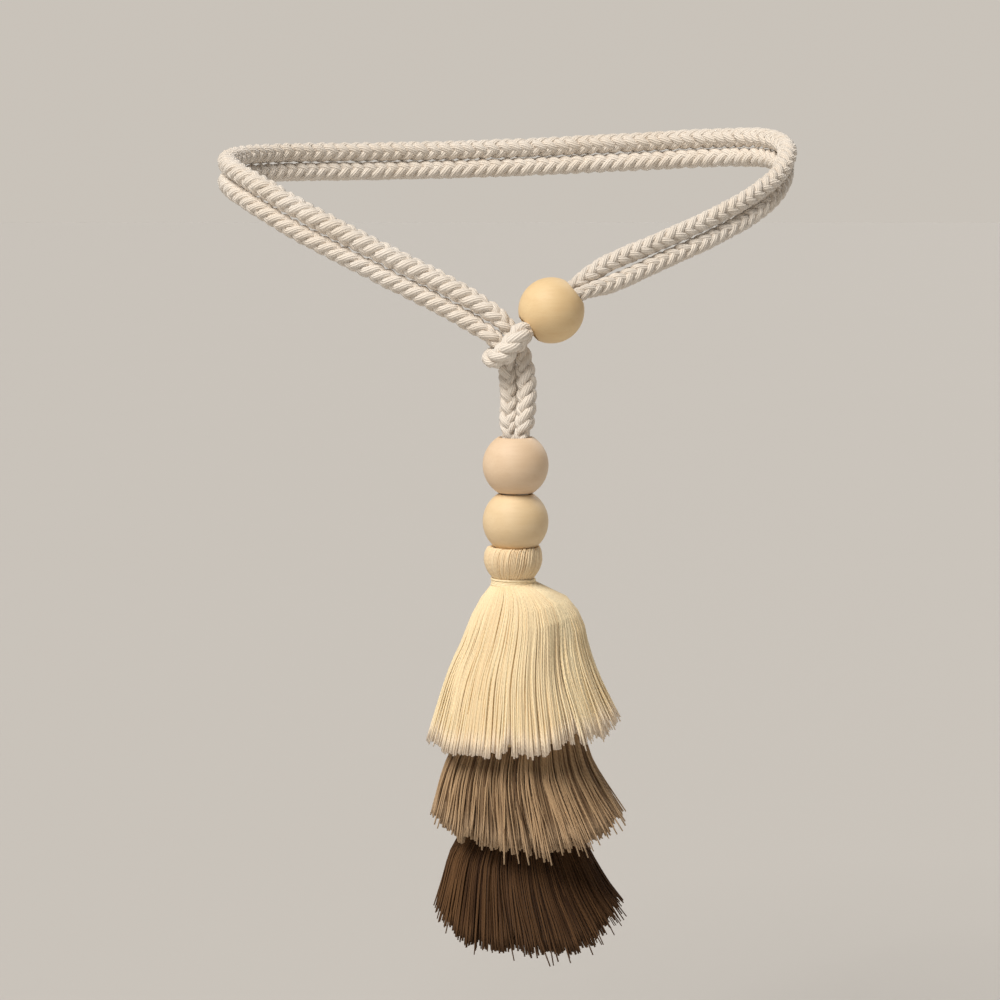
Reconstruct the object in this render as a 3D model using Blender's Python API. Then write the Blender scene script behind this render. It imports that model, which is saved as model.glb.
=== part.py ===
"""Curtain tieback: a doubled cotton rope, three wooden beads and a three-tier yarn tassel.

Lengths below are in millimetres and become metres when a mesh is made. +Z is up, +X is
to the right of someone who faces the tassel, and +Y points from the tassel to the back
of the loop. The origin is on the inner side of the rope at the middle of the loop's back.
"""

import math
from collections import namedtuple

import bmesh
import bpy
from mathutils import Vector

MM = 0.001

# ---- Driving sizes -----------------------------------------------------------------
ROPE_D = 9.5
SEAT = 0.3

BEAD_D = 30.0
BEAD_HOLE_D = 15.0
BEAD_RIM_ROUND = 0.3
BEAD_RIM_DEPTH = 0.2

TASSEL_X = 3.7
TASSEL_Y = -139.0
UPPER_BEAD_Z = -140.7

CINCH_BEAD_AT = (19.9, -133.9, -70.8)
CINCH_BEAD_AXIS = (0.78, 0.09, 0.62)

NECK_CORE_R = 8.9
NECK_TOP_Z = -192.7
NECK_H = 4.2
BINDING_THREAD_D = 1.6

# ---- Fineness ----------------------------------------------------------------------
# The rope gets a point at least every REACH, and one for every TURN that it bends.
REACH = 28.5
TURN = math.radians(33.0)
ROPE_ROUNDNESS = 3
BEAD_SEGMENTS = 36
BEAD_ARC_STEPS = 14
SKIRT_SEGMENTS = 32
WELD = 0.00001
SHARP_ANGLE = math.radians(40.0)

BEAD_HALF_H = math.sqrt((BEAD_D / 2) ** 2 - (BEAD_HOLE_D / 2 + BEAD_RIM_ROUND) ** 2)
LOWER_BEAD_Z = UPPER_BEAD_Z - 2 * BEAD_HALF_H - SEAT
HEAD_TOP_Z = LOWER_BEAD_Z - BEAD_HALF_H - SEAT
BINDING_R = NECK_CORE_R + SEAT + BINDING_THREAD_D / 2

# ---- Rope ---------------------------------------------------------------------------
# The rope is folded in half, so most of it runs as a pair. A station is a point midway
# between the two strands. side points from the strand that lies lower on the loop to the
# one above it, and apart is the distance between their middles. upper and lower are the
# thicknesses of those two strands as shares of ROPE_D: the soft rope is squeezed in the
# beads and in the junction.
Station = namedtuple("Station", "name place side apart upper lower")

PAIR_ROUTE = (
    Station("on the head", (3.7, -139.0, HEAD_TOP_Z + SEAT), (1.0, -0.75, 0.0), 7.3, 0.71, 0.71),
    Station("upper bead", (3.7, -139.0, -142.0), (1.0, -0.75, 0.0), 7.3, 0.71, 0.71),
    Station("bead mouth", (3.7, -139.0, -127.3), (1.0, -0.75, 0.0), 7.3, 0.72, 0.72),
    Station("hanging low", (4.2, -138.4, -121.0), (1.0, -0.75, 0.0), 9.4, 0.95, 0.95),
    Station("hanging mid", (4.9, -137.4, -111.0), (1.0, -0.70, 0.0), 9.7, 0.98, 0.98),
    Station("hanging high", (4.6, -136.4, -101.0), (1.0, -0.45, 0.0), 9.4, 0.94, 0.94),
    Station("under junction", (3.5, -136.0, -92.6), (1.0, -0.15, 0.1), 8.4, 0.81, 0.81),
    Station("junction", (-0.1, -135.3, -84.8), (0.9, 0.0, 0.5), 7.6, 0.72, 0.73),
    Station("over junction", (-4.8, -135.0, -79.0), (0.6, 0.0, 0.7), 8.7, 0.86, 0.85),
    Station("left front", (-13.2, -131.8, -73.2), (0.0, 0.0, 1.0), 9.6, 0.99, 0.95),
    Station("left 1", (-30.0, -126.0, -63.8), (0.0, 0.0, 1.0), 9.9, 1.05, 0.95),
    Station("left 2", (-52.0, -120.0, -53.0), (0.0, 0.0, 1.0), 10.0, 1.06, 0.95),
    Station("left 3", (-76.0, -113.4, -41.0), (0.0, 0.0, 1.0), 10.0, 1.06, 0.93),
    Station("left 4", (-98.0, -104.4, -29.6), (0.0, 0.0, 1.0), 10.3, 1.06, 0.93),
    Station("left 5", (-117.0, -92.0, -18.6), (0.0, 0.0, 1.0), 10.2, 1.05, 0.95),
    Station("left 6", (-129.4, -76.0, -11.4), (0.0, 0.0, 1.0), 9.9, 1.02, 0.98),
    Station("left side", (-134.0, -56.0, -7.0), (0.0, 0.0, 1.0), 9.9, 1.0, 1.0),
    Station("left back 1", (-127.0, -33.0, -3.8), (0.0, 0.0, 1.0), 9.9, 1.0, 1.0),
    Station("left back 2", (-107.0, -13.5, -2.4), (0.0, 0.0, 1.0), 9.9, 1.0, 1.0),
    Station("left back 3", (-60.0, 1.5, -1.6), (0.0, 0.0, 1.0), 9.9, 1.0, 1.0),
    Station("back", (0.0, 4.9, 0.0), (0.0, 0.0, 1.0), 9.9, 1.0, 1.0),
    Station("right back 3", (60.0, 1.5, 2.8), (0.0, 0.0, 1.0), 9.9, 1.0, 1.0),
    Station("right back 2", (107.0, -13.5, 4.8), (0.0, 0.0, 1.0), 9.9, 1.0, 1.0),
    Station("right back 1", (127.0, -33.0, 4.0), (0.0, 0.0, 1.0), 9.9, 1.0, 1.0),
    Station("right side", (133.6, -56.0, -1.4), (0.1, 0.0, 1.0), 9.7, 0.98, 0.98),
    Station("right 5", (128.0, -77.0, -12.8), (0.2, 0.0, 1.0), 9.4, 0.95, 0.93),
    Station("right 4", (114.0, -92.8, -23.8), (0.1, 0.0, 1.0), 9.2, 0.93, 0.91),
    Station("right 3", (93.0, -106.4, -34.6), (0.0, 0.0, 1.0), 9.1, 0.92, 0.90),
    Station("right 2", (69.0, -116.6, -45.0), (0.0, 0.1, 1.0), 9.1, 0.92, 0.90),
    Station("right 1", (46.0, -125.2, -54.8), (0.0, 0.35, 1.0), 9.5, 0.89, 0.89),
    Station("cinch bead in", (30.7, -132.6, -62.2), (0.0, 0.85, 0.6), 7.5, 0.69, 0.69),
    Station("cinch bead", (19.9, -133.9, -70.8), (0.0, 1.0, 0.25), 7.7, 0.69, 0.69),
    Station("cinch bead out", (9.5, -135.1, -79.1), (0.0, 1.0, 0.0), 7.5, 0.64, 0.64),
)

# The bight is the fold of the rope. It leaves the cinch bead, passes behind the pair at
# the junction, turns round its left side and comes back across the front.
BightPoint = namedtuple("BightPoint", "name place girth")

BIGHT = (
    BightPoint("behind, near the bead", (5.9, -127.6, -81.7), 0.70),
    BightPoint("behind the junction", (0.2, -126.7, -86.3), 0.92),
    BightPoint("behind, left", (-6.7, -128.0, -90.9), 0.88),
    BightPoint("left turn", (-10.3, -136.0, -93.2), 0.84),
    BightPoint("front, left", (-6.4, -143.5, -92.6), 0.95),
    BightPoint("front of the junction", (0.0, -145.4, -88.8), 1.07),
    BightPoint("front, near the bead", (6.4, -144.0, -81.7), 0.74),
)

# ---- Tassel --------------------------------------------------------------------------
# A row is one level of a solid of hanging yarn. mid is its middle in X, half its half
# width, front and back its depths before and behind TASSEL_Y, and lift is how much its
# right side stands higher than its left, per millimetre of width.
Row = namedtuple("Row", "z mid half front back lift")

HEAD_ROWS = (
    Row(HEAD_TOP_Z, 3.7, 7.8, 7.8, 7.8, 0.0),
    Row(HEAD_TOP_Z + 0.2, 3.6, 9.2, 9.2, 9.2, 0.0),
    Row(HEAD_TOP_Z + 1.8, 3.5, 11.2, 11.2, 11.2, 0.0),
    Row(HEAD_TOP_Z + 2.4, 3.4, 12.3, 12.3, 12.3, 0.0),
    Row(HEAD_TOP_Z + 1.5, 3.3, 13.3, 13.3, 13.3, 0.0),
    Row(-180.5, 3.2, 14.0, 14.0, 13.9, 0.0),
    Row(-184.0, 3.1, 14.1, 14.1, 13.9, 0.0),
    Row(-187.4, 2.9, 13.4, 13.5, 13.2, 0.0),
    Row(-190.0, 2.8, 12.0, 12.1, 11.8, 0.0),
    Row(-191.8, 2.7, 10.3, 10.3, 10.2, 0.0),
    Row(NECK_TOP_Z, 2.7, NECK_CORE_R, NECK_CORE_R, NECK_CORE_R, 0.0),
    Row(NECK_TOP_Z - NECK_H, 2.7, NECK_CORE_R, NECK_CORE_R, NECK_CORE_R, 0.0),
)
CREAM_ROWS = (
    Row(-197.7, 3.8, 12.4, 12.2, 11.0, 0.0),
    Row(-200.4, 5.4, 17.6, 17.0, 14.0, 0.0),
    Row(-205.0, 6.8, 22.0, 21.0, 16.0, 0.0),
    Row(-212.0, 7.6, 26.2, 25.0, 17.8, 0.0),
    Row(-221.0, 8.2, 30.6, 28.8, 19.4, 0.0),
    Row(-232.0, 8.5, 34.8, 32.6, 20.6, 0.02),
    Row(-244.0, 8.8, 39.8, 36.8, 21.8, 0.05),
    Row(-255.0, 9.6, 44.8, 40.6, 22.6, 0.09),
    Row(-263.6, 10.1, 47.2, 42.6, 23.0, 0.13),
    Row(-268.8, 9.4, 41.6, 38.6, 21.0, 0.15),
)
TAN_ROWS = (
    Row(-242.0, 9.2, 8.0, 8.0, 7.0, 0.0),
    Row(-244.4, 9.2, 13.0, 12.4, 9.6, 0.0),
    Row(-249.0, 9.0, 18.5, 17.6, 12.2, 0.0),
    Row(-256.5, 8.4, 24.2, 22.8, 14.6, 0.0),
    Row(-266.0, 7.6, 29.6, 27.8, 16.6, 0.0),
    Row(-274.6, 7.0, 33.2, 31.2, 18.0, 0.0),
    Row(-284.0, 8.1, 36.9, 34.4, 19.4, 0.0),
    Row(-295.5, 9.7, 41.7, 38.2, 21.0, 0.0),
    Row(-304.6, 10.9, 44.8, 40.6, 22.0, 0.0),
    Row(-311.6, 10.2, 38.6, 36.0, 20.0, 0.0),
)
BROWN_ROWS = (
    Row(-291.0, 9.2, 8.0, 8.0, 7.0, 0.0),
    Row(-293.4, 9.0, 12.5, 12.0, 9.4, 0.0),
    Row(-298.0, 8.2, 17.5, 16.8, 11.8, 0.0),
    Row(-306.0, 7.4, 24.0, 22.8, 14.4, 0.0),
    Row(-315.4, 6.7, 29.8, 28.2, 16.6, 0.0),
    Row(-325.0, 7.3, 33.8, 31.8, 18.2, 0.0),
    Row(-335.0, 8.7, 37.9, 35.2, 19.8, 0.0),
    Row(-346.0, 10.2, 42.8, 38.8, 21.4, 0.0),
    Row(-357.6, 9.8, 35.0, 33.0, 18.4, 0.0),
    Row(-366.0, 9.6, 23.0, 22.0, 13.0, 0.0),
    Row(-368.8, 9.6, 9.0, 8.6, 5.6, 0.0),
)
# A skirt is hollowed from below to the form of the next one. The hollow's rim lies at
# RIM_Z, and DROP is how much deeper it reaches on the left.
RECESS_CLEARANCE = 0.8
CREAM_RIM_Z = -270.4
CREAM_RIM_DROP = 4.0
TAN_RIM_Z = -314.2
TAN_RIM_DROP = 0.0

# name: colour, roughness, metallic
FINISHES = {
    "natural_cotton": ((0.80, 0.72, 0.60), 0.92, 0.0),
    "pale_wood": ((0.78, 0.56, 0.33), 0.50, 0.0),
    "cream_yarn": ((0.78, 0.61, 0.36), 0.80, 0.0),
    "tan_yarn": ((0.34, 0.21, 0.10), 0.75, 0.0),
    "brown_yarn": ((0.10, 0.055, 0.025), 0.72, 0.0),
}


def clear_scene():
    """Remove whatever objects the file was opened with."""
    for thing in list(bpy.data.objects):
        bpy.data.objects.remove(thing, do_unlink=True)


def finish(name):
    """The material of that name, made the first time it is asked for."""
    made = bpy.data.materials.get(name)
    if made is None:
        colour, roughness, metallic = FINISHES[name]
        made = bpy.data.materials.new(name)
        made.use_nodes = True
        shader = made.node_tree.nodes["Principled BSDF"]
        shader.inputs["Base Color"].default_value = (*colour, 1.0)
        shader.inputs["Roughness"].default_value = roughness
        shader.inputs["Metallic"].default_value = metallic
    return made


def add_object(name, data, material):
    """Put the data into the scene as a named object with its material."""
    data.materials.append(finish(material))
    made = bpy.data.objects.new(name, data)
    bpy.context.scene.collection.objects.link(made)
    return made


def add_solid(name, bm, material):
    """Turn a finished bmesh into a smooth-shaded object with its faces pointing out."""
    bmesh.ops.recalc_face_normals(bm, faces=bm.faces)
    mesh = bpy.data.meshes.new(name)
    bm.to_mesh(mesh)
    bm.free()
    mesh.shade_smooth()
    mesh.set_sharp_from_angle(angle=SHARP_ANGLE)
    return add_object(name, mesh, material)


# ---- Rope ---------------------------------------------------------------------------
def strand_points(route, upper):
    """The upper or the lower strand of the pair: (point, thickness) at each station."""
    middles = [Vector(s.place) for s in route]
    strand = []
    for i, station in enumerate(route):
        ahead = middles[min(i + 1, len(middles) - 1)]
        behind = middles[max(i - 1, 0)]
        along = (ahead - behind).normalized()
        side = Vector(station.side)
        side = (side - side.dot(along) * along).normalized()
        if upper:
            strand.append((middles[i] + side * station.apart / 2, station.upper))
        else:
            strand.append((middles[i] - side * station.apart / 2, station.lower))
    return strand


def between(p, q, a, b, t):
    """The point at time t on the line that is at p at time a and at q at time b."""
    return p * ((b - t) / (b - a)) + q * ((t - a) / (b - a))


def curve_point(p0, p1, p2, p3, share):
    """A point of the smooth curve from p1 to p2, as a share of that stretch."""
    t0 = 0.0
    t1 = t0 + math.sqrt((p1 - p0).length)
    t2 = t1 + math.sqrt((p2 - p1).length)
    t3 = t2 + math.sqrt((p3 - p2).length)
    t = t1 + (t2 - t1) * share
    a1 = between(p0, p1, t0, t1, t)
    a2 = between(p1, p2, t1, t2, t)
    a3 = between(p2, p3, t2, t3, t)
    b1 = between(a1, a2, t0, t2, t)
    b2 = between(a2, a3, t1, t3, t)
    return between(b1, b2, t1, t2, t)


def smooth_route(knots):
    """Points and thicknesses along the smooth curve through the knots, closer in bends."""
    points = [point for point, _ in knots]
    points.insert(0, 2 * points[0] - points[1])
    points.append(2 * points[-1] - points[-2])
    route = [knots[0]]
    for i in range(1, len(points) - 2):
        p0, p1, p2, p3 = points[i - 1 : i + 3]
        chord = p2 - p1
        turn = max((p1 - p0).angle(chord), chord.angle(p3 - p2))
        steps = math.ceil(max(chord.length / REACH, turn / TURN))
        for step in range(1, steps + 1):
            share = step / steps
            girth = knots[i - 1][1] * (1 - share) + knots[i][1] * share
            route.append((curve_point(p0, p1, p2, p3, share), girth))
    return route


def rope_route():
    """The whole rope, from one end in the head round to the other."""
    out = strand_points(PAIR_ROUTE, upper=True)
    back = strand_points(PAIR_ROUTE, upper=False)
    back.reverse()
    bight = [(Vector(p.place), p.girth) for p in BIGHT]
    return smooth_route(out + bight + back)


def build_rope():
    """The rope as a round tube on its route, with flat ends."""
    route = rope_route()
    curve = bpy.data.curves.new("rope", "CURVE")
    curve.dimensions = "3D"
    curve.bevel_depth = ROPE_D / 2 * MM
    curve.bevel_resolution = ROPE_ROUNDNESS
    curve.use_fill_caps = True
    spline = curve.splines.new("POLY")
    spline.points.add(len(route) - 1)
    for knot, (point, girth) in zip(spline.points, route):
        knot.co = (*(point * MM), 1.0)
        knot.radius = girth
    spline.use_smooth = True
    return add_object("rope", curve, "natural_cotton")


# ---- Beads --------------------------------------------------------------------------
def bead_profile():
    """Half section of a drilled ball, (radius, height), from its top rim round to it again."""
    outer, hole = BEAD_D / 2, BEAD_HOLE_D / 2
    rim = hole + BEAD_RIM_ROUND
    top = math.acos(rim / outer)
    section = []
    for step in range(BEAD_ARC_STEPS + 1):
        angle = top - 2 * top * step / BEAD_ARC_STEPS
        section.append((outer * math.cos(angle), outer * math.sin(angle)))
    mouth = section[0][1] - BEAD_RIM_DEPTH
    return [(hole, mouth), *section, (hole, -mouth)]


def build_bead(name, centre, axis):
    """A drilled wooden ball with its hole along axis."""
    bm = bmesh.new()
    section = [bm.verts.new((r * MM, 0.0, z * MM)) for r, z in bead_profile()]
    edges = [bm.edges.new(pair) for pair in zip(section, section[1:] + section[:1])]
    bmesh.ops.spin(
        bm,
        geom=section + edges,
        cent=(0.0, 0.0, 0.0),
        axis=(0.0, 0.0, 1.0),
        angle=math.tau,
        steps=BEAD_SEGMENTS,
        use_merge=True,
    )
    bmesh.ops.remove_doubles(bm, verts=bm.verts, dist=WELD)
    turned = Vector(axis).to_track_quat("Z", "Y").to_matrix()
    bmesh.ops.rotate(bm, verts=bm.verts, cent=(0.0, 0.0, 0.0), matrix=turned)
    bmesh.ops.translate(bm, verts=bm.verts, vec=Vector(centre) * MM)
    return add_solid(name, bm, "pale_wood")


# ---- Tassel -------------------------------------------------------------------------
def row_ring(bm, row):
    """The closed ring of edges that one row describes."""
    ring = bmesh.ops.create_circle(bm, segments=SKIRT_SEGMENTS, radius=1.0)["verts"]
    for vert in ring:
        across, deep = vert.co.x, vert.co.y
        reach = row.back if deep > 0 else row.front
        x = across * row.half
        vert.co.x = (row.mid + x) * MM
        vert.co.y = (TASSEL_Y + deep * reach) * MM
        vert.co.z = (row.z + x * row.lift) * MM
    return list({edge for vert in ring for edge in vert.link_edges})


def build_yarn(name, rows, material):
    """A solid of yarn: a ring for each row, joined in turn and closed at both ends."""
    bm = bmesh.new()
    rings = [row_ring(bm, row) for row in rows]
    for upper, lower in zip(rings, rings[1:]):
        bmesh.ops.bridge_loops(bm, edges=upper + lower)
    bmesh.ops.holes_fill(bm, edges=rings[0], sides=0)
    bmesh.ops.holes_fill(bm, edges=rings[-1], sides=0)
    return add_solid(name, bm, material)


def row_at(rows, z):
    """The row that lies at height z between two of the given rows."""
    for upper, lower in zip(rows, rows[1:]):
        if lower.z <= z <= upper.z:
            share = (upper.z - z) / (upper.z - lower.z)
            return Row(*(u + (w - u) * share for u, w in zip(upper, lower)))
    raise ValueError("no rows reach that height")


def recess(inner_rows, rim_z, drop):
    """Rows of the hollow that takes the next skirt, from its rim up to its ceiling."""
    widest = row_at(inner_rows, rim_z - drop)
    covered = [widest._replace(z=rim_z, lift=drop / widest.half)]
    covered += [row for row in reversed(inner_rows) if row.z > rim_z + drop]
    grown = [
        row._replace(
            half=row.half + RECESS_CLEARANCE,
            front=row.front + RECESS_CLEARANCE,
            back=row.back + RECESS_CLEARANCE,
        )
        for row in covered
    ]
    grown[-1] = grown[-1]._replace(z=grown[-1].z + SEAT)
    return tuple(grown)


def build_neck_binding():
    """The thread wound round the neck, as one ring with a rounded outer side."""
    bm = bmesh.new()
    middle_z = NECK_TOP_Z - NECK_H / 2
    high = NECK_H / 2 - SEAT
    inner = BINDING_R - BINDING_THREAD_D / 2
    outer = BINDING_R + BINDING_THREAD_D / 2
    corner = BINDING_THREAD_D / 4
    section = [
        (inner, high),
        (outer - corner, high),
        (outer, high - corner),
        (outer, corner - high),
        (outer - corner, -high),
        (inner, -high),
    ]
    verts = [bm.verts.new((r * MM, 0.0, z * MM)) for r, z in section]
    edges = [bm.edges.new(pair) for pair in zip(verts, verts[1:] + verts[:1])]
    bmesh.ops.spin(
        bm,
        geom=verts + edges,
        cent=(0.0, 0.0, 0.0),
        axis=(0.0, 0.0, 1.0),
        angle=math.tau,
        steps=SKIRT_SEGMENTS,
        use_merge=True,
    )
    bmesh.ops.remove_doubles(bm, verts=bm.verts, dist=WELD)
    place = Vector((HEAD_ROWS[-1].mid, TASSEL_Y, middle_z)) * MM
    bmesh.ops.translate(bm, verts=bm.verts, vec=place)
    return add_solid("neck_binding", bm, "cream_yarn")


def main():
    clear_scene()
    build_rope()
    build_bead("cinch_bead", CINCH_BEAD_AT, CINCH_BEAD_AXIS)
    build_bead("upper_bead", (TASSEL_X, TASSEL_Y, UPPER_BEAD_Z), (0.0, 0.0, 1.0))
    build_bead("lower_bead", (TASSEL_X, TASSEL_Y, LOWER_BEAD_Z), (0.0, 0.0, 1.0))
    cream_hollow = recess(TAN_ROWS, CREAM_RIM_Z, CREAM_RIM_DROP)
    build_yarn("cream_tassel", HEAD_ROWS + CREAM_ROWS + cream_hollow, "cream_yarn")
    build_neck_binding()
    tan_hollow = recess(BROWN_ROWS, TAN_RIM_Z, TAN_RIM_DROP)
    build_yarn("tan_skirt", TAN_ROWS + tan_hollow, "tan_yarn")
    build_yarn("brown_skirt", BROWN_ROWS, "brown_yarn")


main()
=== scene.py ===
"""Looks of a curtain tieback: a braided cotton rope, wooden beads and a tiered yarn tassel.

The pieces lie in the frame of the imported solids: +Z is up, +X is to the right of someone
who faces the tassel, and +Y points from the tassel to the back of the loop. Lengths in the
tables are in millimetres and become metres when a mesh is made.
"""

import logging
import math
import random
from dataclasses import dataclass, field
from enum import Enum
from typing import NamedTuple

import bmesh
import bpy
import numpy as np
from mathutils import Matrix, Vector


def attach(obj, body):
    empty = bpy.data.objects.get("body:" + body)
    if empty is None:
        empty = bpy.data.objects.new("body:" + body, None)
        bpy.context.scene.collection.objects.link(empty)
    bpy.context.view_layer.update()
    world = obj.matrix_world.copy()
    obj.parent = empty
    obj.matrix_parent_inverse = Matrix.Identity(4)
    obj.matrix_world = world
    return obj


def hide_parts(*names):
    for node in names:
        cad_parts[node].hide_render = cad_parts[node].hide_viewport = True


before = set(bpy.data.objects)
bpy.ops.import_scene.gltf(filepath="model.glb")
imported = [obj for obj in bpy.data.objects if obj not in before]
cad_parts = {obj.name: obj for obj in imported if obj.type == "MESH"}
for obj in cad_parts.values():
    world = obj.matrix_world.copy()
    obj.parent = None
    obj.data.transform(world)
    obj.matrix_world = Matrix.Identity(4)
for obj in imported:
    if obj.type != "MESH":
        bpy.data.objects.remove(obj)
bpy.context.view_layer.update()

log = logging.getLogger("tieback")

MM = 0.001
ROPE_D = 9.5
SEAT = 0.3
BEAD_D = 30.0
BEAD_HOLE_D = 15.0
TASSEL_X = 3.7
TASSEL_Y = -139.0
UPPER_BEAD_Z = -140.7
LOWER_BEAD_Z = -166.61
HEAD_TOP_Z = -179.71
CINCH_BEAD_AT = (19.9, -133.9, -70.8)
CINCH_BEAD_AXIS = (0.78, 0.09, 0.62)
NECK_X = 2.7
NECK_CORE_R = 8.9
NECK_TOP_Z = -192.7
NECK_BOTTOM_Z = -196.9

# A shade more than one cycle of a sine wave, for a random start.
CYCLE = 6.3

Colour = tuple[float, float, float]
Point = tuple[float, float, float]
Pairs = tuple[tuple[float, float], ...]
Span = tuple[float, float]


class Slot(Enum):
    """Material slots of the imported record."""

    COTTON = "natural_cotton"
    WOOD = "pale_wood"
    CREAM = "cream_yarn"
    TAN = "tan_yarn"
    BROWN = "brown_yarn"


class Hand(Enum):
    """The way a strand of the braid turns, seen along the rope."""

    LEFT = -1
    RIGHT = 1


# ---- Finishes ------------------------------------------------------------------------
class NodeSheet:
    """A node tree, with short ways to add and join its nodes."""

    def __init__(self, tree: bpy.types.NodeTree) -> None:
        """Work on that tree."""
        self.tree = tree

    def add(self, kind: str, inputs: dict | None = None, **settings: object) -> bpy.types.Node:
        """Add a node.

        Args:
            kind: The node's type name.
            inputs: Socket name or index to a constant, or to the socket that feeds it.
            settings: Properties of the node.

        Returns:
            The new node.
        """
        node = self.tree.nodes.new(kind)
        for key, value in settings.items():
            setattr(node, key, value)
        for key, value in (inputs or {}).items():
            self.feed(node.inputs[key], value)
        return node

    def feed(self, socket: bpy.types.NodeSocket, value: object) -> None:
        """Join a socket to the one that feeds it, or set it to a constant.

        Args:
            socket: The socket.
            value: The socket that feeds it, or the constant.
        """
        if isinstance(value, bpy.types.NodeSocket):
            self.tree.links.new(value, socket)
        else:
            socket.default_value = value

    def maths(self, operation: str, *values: object) -> bpy.types.NodeSocket:
        """The result of one arithmetic step on sockets or numbers."""
        node = self.add("ShaderNodeMath", dict(enumerate(values)), operation=operation)
        return node.outputs[0]

    def attribute(self, name: str, output: str = "Fac") -> bpy.types.NodeSocket:
        """A value that the mesh carries."""
        return self.add("ShaderNodeAttribute", attribute_name=name).outputs[output]

    def place(self) -> bpy.types.NodeSocket:
        """Where on the object a point lies, in metres."""
        return self.add("ShaderNodeTexCoord").outputs["Object"]

    def scaled(self, vector: object, factors: Point) -> bpy.types.NodeSocket:
        """The vector with each of its parts multiplied."""
        inputs = {0: vector, 1: factors}
        return self.add("ShaderNodeVectorMath", inputs, operation="MULTIPLY").outputs[0]

    def noise(self, vector: object, scale: float, detail: float) -> bpy.types.NodeSocket:
        """Cloudy variation between 0 and 1 over the given coordinates."""
        inputs = {"Vector": vector, "Scale": scale, "Detail": detail, "Roughness": 0.55}
        return self.add("ShaderNodeTexNoise", inputs).outputs["Fac"]

    def blend(self, share: object, first: object, second: object) -> bpy.types.NodeSocket:
        """Mix two colours.

        Args:
            share: How much of the second one shows.
            first: The first colour.
            second: The second colour.

        Returns:
            The mixed colour.
        """
        inputs = {0: share, 6: first, 7: second}
        node = self.add("ShaderNodeMix", inputs, data_type="RGBA", clamp_factor=True)
        return node.outputs[2]

    def spread(self, value: object, low: float, high: float) -> bpy.types.NodeSocket:
        """The value stretched so that low becomes 0 and high becomes 1."""
        inputs = {"Value": value, "From Min": low, "From Max": high}
        return self.add("ShaderNodeMapRange", inputs, clamp=True).outputs["Result"]


class FinishSheet(NodeSheet):
    """The node tree of one material."""

    def __init__(self, name: str) -> None:
        """Start a material that has its shader and nothing else.

        Args:
            name: Name of the material.
        """
        self.material = bpy.data.materials.new(name)
        self.material.use_nodes = True
        super().__init__(self.material.node_tree)
        self.shader = self.tree.nodes["Principled BSDF"]

    def thread(self) -> tuple[bpy.types.NodeSocket, bpy.types.NodeSocket]:
        """Where on its thread a point lies.

        Returns:
            The angle round the thread, and the distance along it in millimetres.
        """
        parts = self.add("ShaderNodeSeparateXYZ", {0: self.attribute("ply", "Vector")})
        around = self.maths("ARCTAN2", parts.outputs["Y"], parts.outputs["X"])
        return around, parts.outputs["Z"]

    def tinted(
        self, colour: object, tint: Colour, value: object, low: float, high: float, share: float
    ) -> bpy.types.NodeSocket:
        """The colour, going over to a tint where a value goes from low to high.

        Args:
            colour: The colour where the value is low.
            tint: The colour that it goes over to.
            value: What decides between them.
            low: The value at which the tint begins to show.
            high: The value at which it shows most.
            share: How much of it shows there.

        Returns:
            The mixed colour.
        """
        cover = self.maths("MULTIPLY", self.spread(value, low, high), share)
        return self.blend(cover, colour, rgba(tint))

    def bump(self, height: object, strength: float, depth: float) -> bpy.types.NodeSocket:
        """A bumped normal for a height between 0 and 1 and a depth in metres."""
        inputs = {"Height": height, "Strength": strength, "Distance": depth}
        return self.add("ShaderNodeBump", inputs).outputs["Normal"]

    def set(self, **values: object) -> None:
        """Set or feed sockets of the shader, underscores standing for spaces."""
        for key, value in values.items():
            self.feed(self.shader.inputs[key.replace("_", " ")], value)


def rgba(colour: Colour) -> tuple[float, float, float, float]:
    """The colour with full cover."""
    return (*colour, 1.0)


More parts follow.
